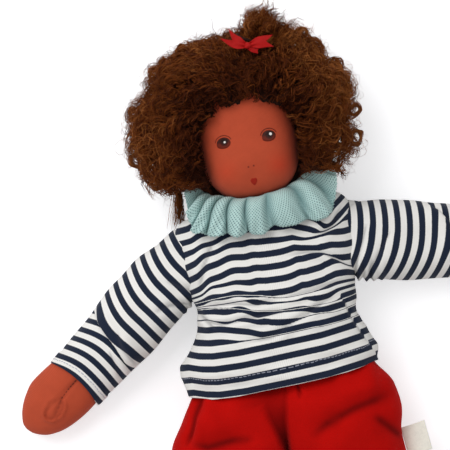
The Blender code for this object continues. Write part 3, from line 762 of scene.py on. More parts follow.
@dataclass(frozen=True)
class StripedJersey:
    """Single jersey in white with navy stripes, hemmed with a row of stitches, darkened along its creases as
    painted shade.
    """

    white: Colour = dyed(238, 236, 232)
    navy: Colour = dyed(20, 31, 52)
    thread: Colour = dyed(168, 172, 186)
    # painted shade: the colour that the creases are darkened towards
    crease: Colour = dyed(58, 60, 72)
    repeat: float = 0.008
    pitch: float = 0.00055

    def build(self, effects: Effects, name: str, row: float) -> bpy.types.Material:
        """Build the material.

        Args:
            effects: the shared groups.
            name: the material's name.
            row: where the row of stitches runs, in the cloth's measure.

        Returns:
            The material.
        """
        paint = Paint(name, effects, 0.85, 0.04)
        stripes = paint.placed(effects.stripes, {"Vector": paint.cloth, "Repeat": self.repeat})
        colour = paint.mix(stripes.outputs["Mask"], self.white, self.navy)
        # painted crease shade: the shade attribute darkens the cloth towards the crease colour
        colour = paint.mix(paint.sums("MULTIPLY", paint.shade, 0.42), colour, self.crease)
        knit = paint.placed(effects.knit, {"Vector": paint.cloth, "Pitch": self.pitch})
        sewn = paint.placed(effects.stitches, {"Vector": paint.cloth, "Row": row})
        colour = paint.mix(paint.sums("MULTIPLY", sewn.outputs["Mask"], 0.75), colour, self.thread)
        height = paint.sums("SUBTRACT", knit.outputs["Height"],
                            paint.sums("MULTIPLY", sewn.outputs["Mask"], 2.0))
        dye = paint.placed(effects.mottle,
                           {"Vector": paint.cloth, "Colour": colour, "Scale": 90.0, "Amount": 0.06})
        paint.colour(paint.scaled(dye.outputs["Colour"], knit.outputs["Shade"]))
        paint.bump(height, 0.00014, 0.8)
        return paint.material


@dataclass(frozen=True)
class Velour:
    """Cotton velour with a short nap that is brushed unevenly, darkened as painted shade in its folds and in
    the wedge between the legs.
    """

    deep: Colour = dyed(160, 5, 2)
    bright: Colour = dyed(196, 10, 5)
    # painted shade: the colour that the folds and the wedge between the legs are darkened towards
    fold: Colour = dyed(78, 1, 1)

    def build(self, effects: Effects, name: str) -> bpy.types.Material:
        """Build the material.

        Args:
            effects: the shared groups.
            name: the material's name.

        Returns:
            The material.
        """
        paint = Paint(name, effects, 0.9, 0.22)
        paint.shader.inputs["Sheen Tint"].default_value = dyed(255, 70, 70)
        paint.shader.inputs["Specular IOR Level"].default_value = 0.08
        brushed = paint.noise(paint.place, 34.0, 2.0, 0.5)
        nap = paint.noise(paint.place, 1900.0, 3.0, 0.7)
        factor = paint.sums("MULTIPLY_ADD", paint.sums("SUBTRACT", brushed, 0.5), 1.5, 0.5, clamp=True)
        colour = paint.mix(factor, self.deep, self.bright)
        # painted shade: the shade attribute darkens the velour towards the fold colour
        colour = paint.mix(paint.shade, colour, self.fold)
        dye = paint.placed(effects.mottle,
                           {"Vector": paint.place, "Colour": colour, "Scale": 1500.0, "Amount": 0.2})
        paint.colour(dye.outputs["Colour"])
        paint.bump(nap, 0.0004, 0.6)
        return paint.material


@dataclass(frozen=True)
class Mohair:
    """Curly brown mohair in one of its shades, its fibres' light and dark running along."""

    shades: tuple[Colour, ...] = (dyed(46, 15, 3), dyed(78, 33, 9), dyed(114, 58, 20), dyed(150, 88, 42))

    def build(self, effects: Effects, name: str, shade: int) -> bpy.types.Material:
        """Build the material.

        Args:
            effects: the shared groups.
            name: the material's name.
            shade: which of the shades, dark first.

        Returns:
            The material.
        """
        paint = Paint(name, effects, 0.6)
        paint.shader.inputs["Specular IOR Level"].default_value = 0.08
        dye = paint.placed(
            effects.mottle,
            {"Vector": paint.place, "Colour": self.shades[shade], "Scale": 260.0, "Amount": 0.5}
        )
        paint.colour(dye.outputs["Colour"])
        paint.bump(paint.noise(paint.place, 1600.0, 2.0), 0.0005, 0.5)
        return paint.material

    def under(self, effects: Effects, name: str) -> bpy.types.Material:
        """Build the depth under the locks, coloured dark as painted shade deep in the hair.

        Args:
            effects: the shared groups.
            name: the material's name.

        Returns:
            The material.
        """
        paint = Paint(name, effects, 0.9)
        deep = paint.noise(paint.place, 330.0, 5.0, 0.75)
        factor = paint.sums("MULTIPLY_ADD", deep, 3.0, -1.2, clamp=True)
        # painted shade: the hair's depth in darker browns than any lock
        paint.colour(paint.mix(factor, dyed(24, 8, 2), dyed(70, 32, 11)))
        paint.bump(deep, 0.004, 0.9)
        return paint.material


@dataclass(frozen=True)
class CottonNet:
    """A soft net with holes in slanting rows, in a pale mint green, darkened in its pleats and near the neck
    as painted shade.
    """

    thread: Colour = dyed(182, 212, 208)
    # deep: the colour of the holes, and of the painted shade in the pleats and near the neck
    deep: Colour = dyed(92, 138, 142)
    hole: float = 0.0013

    def build(self, effects: Effects, name: str) -> bpy.types.Material:
        """Build the material.

        Args:
            effects: the shared groups.
            name: the material's name.

        Returns:
            The material.
        """
        paint = Paint(name, effects, 0.75, 0.1)
        split = paint.add("ShaderNodeSeparateXYZ", {0: paint.cloth})
        turn = 2 * math.pi / self.hole * 0.7
        across, along = split.outputs["X"], split.outputs["Y"]
        first = paint.sums("COSINE", paint.sums("MULTIPLY", paint.sums("ADD", across, along), turn))
        second = paint.sums("COSINE", paint.sums("MULTIPLY", paint.sums("SUBTRACT", across, along), turn))
        holes = paint.sums("MULTIPLY_ADD", paint.sums("ADD", first, second), 1.4, -0.9, clamp=True)
        # painted shade: the shade attribute darkens the net towards the deep colour
        colour = paint.mix(paint.sums("MULTIPLY", paint.shade, 0.55), self.thread, self.deep)
        colour = paint.mix(paint.sums("MULTIPLY", holes, 0.9), colour, self.deep)
        dye = paint.placed(effects.mottle,
                           {"Vector": paint.place, "Colour": colour, "Scale": 140.0, "Amount": 0.12})
        paint.colour(dye.outputs["Colour"])
        solid = paint.sums("SUBTRACT", 1.0, paint.sums("MULTIPLY", holes, 0.3))
        paint.tree.links.new(solid, paint.shader.inputs["Alpha"])
        paint.bump(paint.sums("SUBTRACT", 1.0, holes), 0.0003, 0.8)
        return paint.material


@dataclass(frozen=True)
class Spun:
    """A plain spun or woven stuff: ribbon, floss, tape, thread, fleece or elastic."""

    tone: Colour
    roughness: float = 0.8
    sheen: float = 0.0
    rib: float = 0.0004
    along: bool = False
    relief: float = 0.0001
    unevenness: float = 0.12

    def build(self, effects: Effects, name: str, on_object: bool = False) -> bpy.types.Material:
        """Build the material.

        Args:
            effects: the shared groups.
            name: the material's name.
            on_object: True reads the object's coordinates, for a piece without a measure of its own.

        Returns:
            The material.
        """
        paint = Paint(name, effects, self.roughness, self.sheen)
        where = paint.place if on_object else paint.cloth
        dye = paint.placed(
            effects.mottle,
            {"Vector": paint.place, "Colour": self.tone, "Scale": 420.0, "Amount": self.unevenness}
        )
        split = paint.add("ShaderNodeSeparateXYZ", {0: where})
        way = split.outputs["Y" if self.along else "X"]
        ribs = paint.sums("COSINE", paint.sums("MULTIPLY", way, 2 * math.pi / self.rib))
        shade = paint.sums("MULTIPLY_ADD", ribs, 0.06, 0.97)
        paint.colour(paint.scaled(dye.outputs["Colour"], shade))
        paint.bump(ribs, self.relief, 0.6)
        return paint.material


@dataclass(frozen=True)
class Fleece:
    """Carded wool, the stuffing."""

    tone: Colour = dyed(232, 224, 204)

    def build(self, effects: Effects, name: str) -> bpy.types.Material:
        """Build the material.

        Args:
            effects: the shared groups.
            name: the material's name.

        Returns:
            The material.
        """
        paint = Paint(name, effects, 0.95, 0.2)
        fluff = paint.noise(paint.place, 700.0, 5.0, 0.7)
        dye = paint.placed(effects.mottle,
                           {"Vector": paint.place, "Colour": self.tone, "Scale": 300.0, "Amount": 0.2})
        paint.colour(dye.outputs["Colour"])
        paint.bump(fluff, 0.0012, 0.8)
        return paint.material


@dataclass(frozen=True)
class EyeFloss:
    """Satin-stitched eye: brown below, near black above and at the pupil."""

    brown: Colour = dyed(106, 28, 8)
    dark: Colour = dyed(40, 10, 4)

    def build(self, effects: Effects, name: str, centre: tuple[float, float]) -> bpy.types.Material:
        """Build the material.

        Args:
            effects: the shared groups.
            name: the material's name.
            centre: the eye's X and Y.

        Returns:
            The material.
        """
        paint = Paint(name, effects, 0.45, 0.0)
        split = paint.add("ShaderNodeSeparateXYZ", {0: paint.place})
        above = paint.sums("DIVIDE", paint.sums("SUBTRACT", split.outputs["Y"], centre[1] - 0.0006), 0.0016,
                           clamp=True)
        pupil = paint.blot(paint.place, (centre[0] + 0.0004, centre[1] + 0.0004), 0.0026, 0.4)
        colour = paint.mix(paint.sums("MULTIPLY", above, 0.75), self.brown, self.dark)
        colour = paint.mix(pupil, colour, dyed(14, 7, 6))
        floss = paint.sums("COSINE", paint.sums("MULTIPLY", split.outputs["X"], 2 * math.pi / 0.00042))
        paint.colour(colour)
        paint.bump(floss, 0.00008, 0.7)
        return paint.material


# The body's own form


@dataclass
class Trunk:
    """The stuffed body's outline, which the shirt and trousers lie on."""

    top: float = 0.053
    length: float = 0.143
    depth: float = 0.055
    fullness: float = 2.5
    # Share of the length from the crotch up; then the back's and the front's height as shares of the depth
    shares: tuple = (
        (0.000, 0.030, 0.90), (0.100, 0.010, 0.92), (0.185, 0.000, 0.93), (0.270, 0.000, 0.92),
        (0.375, 0.000, 0.97),
        (0.490, 0.000, 1.00), (0.630, 0.000, 1.00), (0.770, 0.000, 0.96), (0.870, 0.000, 0.93),
        (0.940, 0.040, 0.90),
        (0.975, 0.110, 0.88), (0.992, 0.180, 0.88), (1.000, 0.225, 0.88),
    )
    # The place along; then the left and the right edge, in millimetres
    edges: tuple = (
        (-90.0, -79.4, 56.2), (-75.7, -76.5, 58.4), (-62.0, -71.3, 56.6), (-50.0, -62.9, 53.2),
        (-40.4, -64.2, 54.0),
        (-30.7, -64.0, 51.2), (-22.8, -58.4, 47.8), (-11.8, -52.8, 47.0), (0.5, -49.8, 49.0),
        (10.0, -51.4, 51.2),
        (20.0, -54.7, 54.6), (34.5, -56.0, 56.0), (44.4, -55.2, 55.2), (49.4, -50.4, 50.4),
        (51.9, -39.6, 39.6),
        (53.0, -24.0, 24.0),
    )

    def middle(self, y: Array) -> Array:
        """How far the body's middle lies aside."""
        rows = np.array(self.edges) / 1000
        return np.interp(y, rows[:, 0], (rows[:, 1] + rows[:, 2]) / 2)

    def spans(self, y: Array) -> tuple[Array, Array, Array]:
        """The body's half-width, back and front at places along it.

        Args:
            y: the places.

        Returns:
            Half-width, height of the back and height of the front.
        """
        values = read_rows(self.shares, (y - self.top + self.length) / self.length)
        rows = np.array(self.edges) / 1000
        half = read_rows(tuple(zip(rows[:, 0], (rows[:, 2] - rows[:, 1]) / 2)), y)[:, 0]
        return half, values[:, 0] * self.depth, values[:, 1] * self.depth

    def skin(self, y: Array, angle: Array) -> tuple[Array, Array]:
        """Points of the body's outline and the ways out of it.

        Args:
            y: places along the body.
            angle: the angle round it, from its right side over the front.

        Returns:
            The points and the outward ways.
        """
        width, low, high = self.spans(y)
        across, above = rounded(angle, self.fullness)
        half = (high - low) / 2
        x = self.middle(y) + width * across
        z = np.maximum((high + low) / 2 + half * above, 0.0)
        out = np.c_[across / width, np.zeros_like(y), above / half]
        out /= np.linalg.norm(out, axis=1)[:, None]
        return np.c_[x, y, z], out


# Shirt


@dataclass(frozen=True)
class Tuck:
    """Cloth taken in along a crease: rows of place across, place up and length taken, in millimetres."""

    rows: tuple
    spread: float = 0.0004

    def taken(self, x: Array, y: Array) -> Array:
        """The length taken in below each place."""
        up, length = read_rows(self.rows, 1000 * x).T / 1000
        return np.maximum(length, 0.0) * ease(y - up, -self.spread, self.spread)


@dataclass
class Shirt:
    """The striped jersey shirt: its body and the ribbed neck edge."""

    trunk: Trunk = field(default_factory=Trunk)
    # The hem's line, as X and Y
    hem_line: tuple = ((-0.066, -0.0500), (-0.050, -0.0534), (-0.030, -0.0542), (0.0, -0.0536),
                       (0.030, -0.0524), (0.054, -0.0498))
    neck: float = 0.0530
    shoulder_lift: float = 0.0070
    cloth: float = 0.0009
    repeat: float = 0.008
    # The lower edge of the first navy stripe, as X and Y
    first_stripe: tuple = (
        (-0.062, -0.0494), (-0.054, -0.0518), (-0.046, -0.0532), (-0.030, -0.0539), (0.022, -0.0529),
        (0.054, -0.0500),
    )
    tucks: tuple[Tuck, ...] = (
        Tuck(((-50, -20, 0), (-38, -20.5, 0.5), (-22, -21.5, 4.6), (-12, -21.9, 8.4), (16, -21.4, 8.4),
              (30, -21.5, 9.2),
              (54, -19, 9))),
        Tuck(((-10, -18.5, 0), (-6, -16.5, 1.3), (2, -17, 2.9), (14, -14.2, 5.2), (22, -13.5, 8),
              (34, -14.6, 8.4),
              (54, -11.5, 8.2))),
        Tuck(((-62, -6.5, 4.6), (-46, -4.8, 4.3), (-34, -9.5, 4.8), (-24, -7.5, 2.3), (-14, -9.6, 3.8),
              (2, -8.3, 2),
              (16, -9.5, 0)), 0.0005),
        Tuck(((-62, 1, 8), (-46, 1.8, 8), (-30, -0.3, 8), (-14, -4.7, 8), (2, -7.6, 8), (30, -8.5, 8),
              (38, -8, 5.5),
              (54, -6, 5)), 0.0003),
        Tuck(((-62, 5, 8), (-30, 7, 8), (-14, 4.7, 8), (2, 0.2, 7.6), (20, -0.2, 6), (32, 1, 0))),
        Tuck(((-62, 2.5, 15.3), (-54, 2.8, 13.4), (-46, 3.4, 10.3), (-38, 3, 7.2), (-22, 2.8, 6),
              (-14, 3, 3.6),
              (-6, -1, 3.2), (10, -3.5, 3.9), (22, -3, 0.2)), 0.0008),
        Tuck(((16, 0.5, 0), (24, 0.5, 1.9), (32, 1, 5.8), (40, 1, 7.7), (46, 1, 9.4), (54, 1, 14)), 0.0050),
        Tuck(((-62, 9, 8), (-46, 10.5, 7.8), (-38, 15, 5), (-24, 14, 1.8), (-12, 9, 0)), 0.0030),
        Tuck(((-4, 26, 0), (14, 25.6, 0.4), (30, 23, 4.4), (38, 18, 6), (46, 11.5, 6.5), (54, 8, 2.5)),
             0.0012),
        Tuck(((2, 33, 0), (10, 33, 1.2), (22, 32, 3.2), (30, 33.4, 5.5), (38, 35.3, 12.9), (46, 38.5, 6.6),
              (54, 46, 1.5)), 0.0020),
        Tuck(((-54, 42, 0.5), (-38, 38, 3.4), (-30, 38, 3.6), (-16, 42, 0.5), (-8, 46, 0)), 0.0070),
    )
    # The side seam in front on the right, as Y and X
    side_seam: tuple = ((-0.052, 0.056), (-0.038, 0.050), (-0.026, 0.0441), (-0.0138, 0.0403),
                        (-0.005, 0.0378))
    folds: tuple[Fold, ...] = (
        Fold(((-0.0484, 0.0036), (-0.0285, 0.0027), (-0.0131, -0.0008), (0.0020, 0.0004)), 0.0010, 0.0014,
             0.0008),
        Fold(((-0.0500, -0.0010), (-0.0435, -0.0062), (-0.0368, -0.0089), (-0.0164, -0.0080),
              (0.0080, -0.0078)),
             0.0011, 0.0015, 0.0010),
        Fold(((-0.0253, -0.0224), (-0.0071, -0.0219), (0.0065, -0.0150), (0.0148, -0.0128),
              (0.0216, -0.0093),
              (0.0277, -0.0064), (0.0345, -0.0045)), 0.0012, 0.0015, 0.0012),
        Fold(((0.0000, 0.0002), (0.0193, 0.0012), (0.0368, 0.0026), (0.0470, 0.0028)), 0.0010, 0.0014,
             0.0010),
        Fold(((0.0100, 0.0248), (0.0230, 0.0248), (0.0320, 0.0225), (0.0400, 0.0168), (0.0480, 0.0105)),
             0.0010, 0.0014, 0.0009),
        Fold(((0.0290, 0.0350), (0.0360, 0.0345), (0.0430, 0.0385), (0.0500, 0.0440)), 0.0012, 0.0016,
             0.0010),
        Fold(((-0.0310, 0.0430), (-0.0400, 0.0280), (-0.0470, 0.0130)), 0.0013, 0.0018, 0.0010),
        Fold(((-0.0490, 0.0000), (-0.0450, -0.0060), (-0.0400, -0.0120)), 0.0012, 0.0012, 0.0007),
        Fold(((0.0378, -0.0050), (0.0403, -0.0138), (0.0441, -0.0260), (0.0500, -0.0380)), 0.0008, 0.0009,
             0.0002),
    )

    def body_form(self, u: Array, v: Array) -> tuple[Array, Array, Array]:
        """The shirt's body from the hem up to the neck, before its creases slide over each other.

        Args:
            u: the share round it, from the middle of the back.
            v: the share up it.

        Returns:
            The points, the slides and the shade.
        """
        angle = 2 * math.pi * u - math.pi / 2
        left = ease(-np.cos(angle), 0.1, 0.9)
        aside = 0.062 * np.cos(angle) - 0.0058
        bottom = np.interp(aside, *np.array(self.hem_line).T)
        y = bottom + (self.neck - bottom) * (1 - (1 - v) ** 1.2)
        points, out = self.trunk.skin(y, angle)
        front = ease(points[:, 2], 0.018, 0.034)
        lift, slide, shade = folded(self.folds, points[:, :2])
        soft = ripple(points * np.array([1.0, 1.6, 1.0]), 0.034, 5) * 0.0007
        hang = bell(y + 0.036, 0.012) * (0.0026 * left - 0.0008 * ease(np.cos(angle), 0.2, 0.9))
        hem = ease(-y, 0.025, 0.052)
        waves = hem * (0.0007 * np.sin(angle * 9 + 1.0) + 0.0012 * front)
        rumple = ripple(points * np.array([1.0, 2.2, 1.0]), 0.012, 8) * 0.00035 * ease(-y, -0.012,
                                                                                       0.02) * front
        grow = np.maximum(lift * front, -0.0011) + soft * (0.4 + front) + rumple + hang + waves + 0.0006
        points = points + out * grow[:, None]
        near_arm = bell(np.abs(points[:, 0]) - 0.047, 0.013)
        points[:, 1] += self.shoulder_lift * near_arm * ease(y, 0.030, 0.051)
        points[:, 2] = np.maximum(points[:, 2], 0.0002)
        return points, slide * front[:, None], shade * front

    def body_points(self, u: Array, v: Array) -> Array:
        """The shirt's body with its creases laid over each other."""
        points, slide, _ = self.body_form(u, v)
        points[:, :2] += slide
        return points

    def body_measure(self, u: Array, v: Array) -> Array:
        """The cloth's own measure on the body: round it, and up from the first navy stripe.

        Args:
            u: the share round it.
            v: the share up it.

        Returns:
            Two lengths for each place.
        """
        points, _, _ = self.body_form(u, v)
        x, y = points[:, 0], points[:, 1]
        length = y - np.interp(x, *np.array(self.first_stripe).T) - self.repeat / 4
        for tuck in self.tucks:
            length += tuck.taken(x, y)
        seam = np.interp(y, *np.array(self.side_seam).T)
        length -= 0.27 * self.repeat * ease(x - seam, -0.0003, 0.0003) * ease(-y, 0.002, 0.005)
        front = ease(points[:, 2], 0.014, 0.026)
        return np.c_[u * 0.30, front * length + (1 - front) * (y + 0.0515)]

    def build(self, effects: Effects) -> None:
        """Build the body of the shirt and the ribbed edge at the neck."""
        jersey = StripedJersey().build(effects, "striped jersey, body", 0.0091)
        body = lay_grid(
            "shirt_striped_body", 184, 250, self.body_points, self.body_measure, lambda u,
            v: self.body_form(u, v)[2]
        )
        thicken(body, self.cloth)
        dress(body, jersey, ("shirt_body",), "torso")
        self.build_edge(effects)

    def build_edge(self, effects: Effects) -> None:
        """Build the ribbed edge that the neck opening is bound with."""

        def edge(u: Array, v: Array) -> Array:
            turn = 2 * math.pi * u
            round_it = 2 * math.pi * v
            bulge = 0.0009 * np.cos(round_it)
            across, above = rounded(turn, 2.3)
            x = (0.0208 + bulge) * across
            z = 0.0304 + (0.0185 + bulge) * above
            y = 0.0549 + 0.0010 * np.sin(round_it)
            return np.c_[x, y, z]

        rib = Spun(dyed(24, 34, 54), 0.85, 0.0, 0.0011, False, 0.0002)
        binding = lay_grid("neck_edge_rib", 96, 10, edge, lambda u, v: np.c_[u * 0.125, v * 0.006])
        dress(binding, rib.build(effects, "navy rib"), ("neckline_binding",), "torso")


@dataclass
class Torso:
    """The body under the shirt: a firm filling in a jersey skin."""

    trunk: Trunk
    hem: float = -0.0880

    def surface(self, inset: float) -> Form:
        """The body's form, set in from the shirt.

        Args:
            inset: how far.

        Returns:
            The form from u and v to points.
        """

        def shape(u: Array, v: Array) -> Array:
            y = self.hem + inset + (self.trunk.top - self.hem - 2 * inset) * (1 - np.cos(math.pi * v)) / 2
            points, out = self.trunk.skin(y, 2 * math.pi * u - math.pi / 2)
            low, high = self.trunk.spans(y)[1:]
            middle = np.c_[self.trunk.middle(y), y, (low + high) / 2]
            closed = (np.clip(np.sin(math.pi * v), 0.0, 1.0) ** 0.4)[:, None]
            points = middle + (points - out * inset - middle) * closed
            points[:, 2] *= 1 - 0.24 * ease(-y, 0.040, 0.052)
            points[:, 2] = np.maximum(points[:, 2], 0.0002 + inset / 2)
            return points

        return shape

    def build(self, skin: bpy.types.Material, wool: bpy.types.Material) -> None:
        """Build the skin and the filling."""
        for name, inset, finish, slot in (
            ("torso_jersey", 0.0026, skin, "skin"), ("torso_fleece", 0.0046, wool, "wool"),
        ):
            piece = lay_grid(name, 64, 60, self.surface(inset), lambda u, v: np.c_[u * 0.28, v * 0.15])
            dress(piece, finish, ("torso_skin" if slot == "skin" else "torso_wool",), "torso")


@dataclass
class Sleeve:
    """One striped sleeve, from inside the armhole to the cuff, measured along the arm from the shoulder."""

    side: Side
    degrees: float
    stripe_start: float
    repeat: float
    folds: tuple[Fold, ...]
    # How far the stripes bow, at the outer and the inner edge, over the upper arm and over the forearm
    bows: tuple[float, float, float, float]
    elbow_turn: bool = False
    # How much fuller it is than the arm: the place along it, then the outer and inner side, in millimetres
    fuller: tuple = ((-13, 0.0, 0.0), (100, 0.0, 0.0))
    root: float = -0.0130
    length: float = 0.1008
    mouth_rise: float = 0.0045
    half_width: float = 0.0222
    half_depth: float = 0.0178
    cloth: float = 0.0009
    pivot_out: float = 0.0540
    pivot_y: float = 0.0305
    pivot_z: float = 0.0215
    drop: float = 0.0105
    arm_length: float = 0.142
    shares: tuple = (
        (-0.14, 0.86, 0.98),
        (0.00, 0.91, 1.02),
        (0.10, 0.93, 1.03),
        (0.22, 0.95, 1.01),
        (0.42, 1.00, 1.00),
        (0.60, 0.99, 0.97),
        (0.80, 0.93, 0.90),
        (1.00, 0.89, 0.82),
    )

    @property
    def along(self) -> Array:
        """The way down the arm."""
        rest = math.radians(self.degrees)
        return np.array([self.side.value * math.sin(rest), -math.cos(rest), 0.0])

    @property
    def across(self) -> Array:
        """The way to the arm's outer edge, which is the one towards the head."""
        rest = math.radians(self.degrees)
        return np.array([self.side.value * math.cos(rest), math.sin(rest), 0.0])

    @property
    def pivot(self) -> Array:
        """The shoulder's joint."""
        return np.array([self.side.value * self.pivot_out, self.pivot_y, self.pivot_z])

    def place(self, s: Array, n: Array, up: Array) -> Array:
        """Points from their measure along the arm, across it and up from its middle."""
        points = self.pivot + s[:, None] * self.along + n[:, None] * self.across
        points[:, 2] += up - self.drop * s / self.arm_length
        return points

    def form(self, u: Array, v: Array) -> tuple[Array, Array, Array, Array, Array]:
        """The sleeve before its creases slide over each other.

        Args:
            u: the share round it.
            v: the share along it.

        Returns:
            The measures along, across and up, the slides and the shade.
        """
        angle = 2 * math.pi * u - math.pi / 2
        across, above = rounded(angle, 2.15)
        top = np.maximum(above, 0.0)
        s = self.root + (self.length - self.mouth_rise * top**2 - self.root) * v
        values = read_rows(self.shares, s / self.length)
        width, depth = values[:, 0] * self.half_width, values[:, 1] * self.half_depth
        on = np.c_[s, width * across]
        front = ease(above, 0.05, 0.40)
        lift, slide, shade = folded(self.folds, on)
        soft = ripple(np.c_[s, width * across, depth * above], 0.030, 11 + self.side.value) * 0.0008
        bunch = ease(-across, 0.4, 0.95) * ease(-s, -0.030, -0.004)
        pucker = bunch * 0.0014 * np.sin(s * 2 * math.pi / 0.0048 + 2.0 * above)
        end = s + self.mouth_rise * top**2
        cuff = 0.0007 * ease(end, self.length - 0.012, self.length - 0.007)
        cuff = cuff * (1 - 0.5 * ease(end, self.length - 0.003, self.length))
        groove = -0.0005 * bell(end - (self.length - 0.0100), 0.0009)
        armhole = -0.0007 * bell(s - 0.0022 + 0.010 * above, 0.0013)
        grow = np.maximum(lift * front, -0.0012) + soft + pucker + cuff + groove + armhole
        extra = read_rows(self.fuller, s * 1000) / 1000
        grow = grow + np.where(across > 0, extra[:, 0], extra[:, 1]) * np.abs(across) ** 1.5
        return s, across * (width + grow), above * (depth + grow), slide * front[:, None], shade * front

    def points(self, u: Array, v: Array) -> Array:
        """The sleeve's points, flat where they meet the floor."""
        s, n, up, slide, _ = self.form(u, v)
        points = self.place(s + slide[:, 0], n + slide[:, 1], up)
        points[:, 2] = np.maximum(points[:, 2], 0.0004)
        return points

    def measure(self, u: Array, v: Array) -> Array:
        """The cloth's own measure: round the sleeve, and down it from a navy stripe's middle.

        Args:
            u: the share round it.
            v: the share along it.

        Returns:
            Two lengths for each place.
        """
        s, n, _, _, _ = self.form(u, v)
        outer, inner = (np.maximum(n, 0) / 0.020) ** 2, (np.minimum(n, 0) / 0.020) ** 2
        upper = (s + self.bows[0] * outer + self.bows[1] * inner - self.stripe_start) / self.repeat
        fore = (s + self.bows[2] * outer + self.bows[3] * inner - 0.0660) / 0.00735
        if self.elbow_turn:
            past, _, _ = line_distance(np.c_[s, n], self.folds[0].line)
            upper = np.where(past > 0, upper, fore + 9.0)
        return np.c_[u * 0.125, upper * 0.008]

    def build(self, effects: Effects) -> None:
        """Build the sleeve."""
        word = self.side.word
        if self.elbow_turn:
            stitched = 9.0 + (0.0913 - 0.0660) / 0.00735
        else:
            stitched = (0.0925 - self.stripe_start) / self.repeat
        jersey = StripedJersey().build(effects, f"striped jersey, {word} sleeve", stitched * 0.008)
        sleeve = lay_grid(
            f"shirt_sleeve_{word}", 110, 170, self.points, self.measure, lambda u, v: self.form(u, v)[4]
        )
        thicken(sleeve, self.cloth)
        dress(sleeve, jersey, (f"sleeve_{word}",))
        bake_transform(sleeve)


@dataclass
class Arm:
    """A stuffed jersey arm that ends in a mitten hand with a stitched thumb."""

    sleeve: Sleeve
    # Share of the way; then along the arm, centre across, half-width and half-depth, in millimetres
    rows: tuple = (
        (0.000, -15.4, 0.0, 0.0, 0.0),
        (0.012, -15.0, 0.0, 4.0, 4.0),
        (0.030, -13.0, 0.0, 8.6, 8.6),
        (0.060, -8.0, 0.0, 13.0, 13.0),
        (0.110, 1.0, 0.0, 15.2, 15.2),
        (0.250, 26.0, 0.0, 15.4, 15.0),
        (0.450, 58.0, 0.0, 15.6, 13.8),
        (0.620, 86.0, 0.3, 17.2, 13.1),
        (0.700, 100.0, 0.55, 18.7, 12.9),
        (0.765, 110.0, 1.1, 19.1, 12.6),
        (0.825, 119.0, 1.7, 18.5, 12.1),
        (0.875, 126.0, 1.5, 16.5, 11.1),
        (0.915, 131.0, 1.5, 14.2, 9.7),
        (0.950, 136.0, 1.5, 10.9, 7.6),
        (0.975, 139.6, 1.9, 7.0, 5.0),
        (0.990, 141.6, 2.4, 3.6, 2.6),
        (1.000, 142.3, 2.6, 0.0, 0.0),
    )
    thumb_seam: tuple = ((0.0940, 0.0008), (0.1052, 0.0003), (0.1111, -0.0001), (0.1180, -0.0030),
                         (0.1232, -0.0042))
    thumb_edge: tuple = (
        (0.1120, 0.0030), (0.1190, 0.0042), (0.1242, 0.0033), (0.1280, 0.0010), (0.1290, -0.0022),
        (0.1270, -0.0060), (0.1207, -0.0082), (0.1142, -0.0060), (0.1105, -0.0020),
    )

    def form(self, u: Array, v: Array) -> tuple[Array, Array, Array, Array]:
        """The arm's measure along, across and up, and the painted shade along its thumb's seam.

        Args:
            u: the share round it.
            v: the share along it.

        Returns:
            Four values for each place.
        """
        angle = 2 * math.pi * u - math.pi / 2
        values = read_rows(self.rows, v) / 1000
        across, above = rounded(angle, 2.15)
        s = values[:, 0]
        n = values[:, 1] + np.maximum(values[:, 2], 0.0) * across
        up = np.maximum(values[:, 3], 0.0) * above
        on = np.c_[s, n]
        seam, share, _ = line_distance(on, self.thumb_seam)
        edge, turned, _ = line_distance(on, self.thumb_edge)
        top = ease(above, 0.1, 0.5)
        ends = np.clip(9 * (1 - share), 0.0, 1.0) * np.clip(12 * share, 0.0, 1.0)
        groove = -0.0013 * bell(seam, 0.0011) * ends
        ridge = 0.0011 * bell(edge, 0.0008) - 0.0008 * bell(edge + 0.0018, 0.0009)
        mound = 0.0008 * bell(np.hypot((s - 0.1195) / 1.7, n + 0.0020), 0.0044)
        held = np.clip(14 * turned * (1 - turned), 0.0, 1.0)
        soft = 0.0004 * ripple(on, 0.026, 21)
        # painted shade: dark along the thumb's seam and beside its edge, which the skin material darkens by
        shade = top * np.clip(0.5 * bell(seam, 0.0006) * ends + 0.25 * bell(edge + 0.0016, 0.0008) * held,
                              0.0, 1.0)
        return s, n, up + top * (groove + ridge * held + mound + soft), shade

    def points(self, u: Array, v: Array) -> Array:
        """The arm's points, flat where they meet the floor."""
        points = self.sleeve.place(*self.form(u, v)[:3])
        points[:, 2] = np.maximum(points[:, 2], 0.0004)
        return points

    def measure(self, u: Array, v: Array) -> Array:
        """The jersey's own measure: across the arm and along it."""
        s, n, up, _ = self.form(u, v)
        return np.c_[n + np.abs(up) * 0.5, s]

    def build(self, effects: Effects, jersey: bpy.types.Material) -> None:
        """Build the arm and the stitches that draw in its thumb."""
        word = self.sleeve.side.word
        arm = lay_grid(
            f"arm_jersey_{word}", 90, 190, self.points, self.measure, lambda u, v: self.form(u, v)[3]
        )
        dress(arm, jersey, (f"arm_skin_{word}",), f"arm_{word}")
        self.build_stitches(effects)

    def build_stitches(self, effects: Effects) -> None:
        """Sew the thumb's row of short stitches into its groove."""
        word = self.sleeve.side.word
        corners = np.array(self.thumb_seam)
        lines = []
        for spot in np.arange(0.0975, 0.1150, 0.0022):
            s = np.array([spot, spot + 0.0011])
            n = np.interp(s, corners[:, 0], corners[:, 1])
            depth = np.interp(s, (0.100, 0.119, 0.126), (0.0129, 0.0121, 0.0111)) - 0.0009
            lines.append(self.sleeve.place(s, n, depth))
        floss = Spun(dyed(70, 24, 18), 0.7).build(effects, f"thumb thread {word}", True)
        sewn = thread_along(f"thumb_stitches_{word}", lines, 0.00024)
        dress(sewn, floss, (), f"arm_{word}")


# Head and face


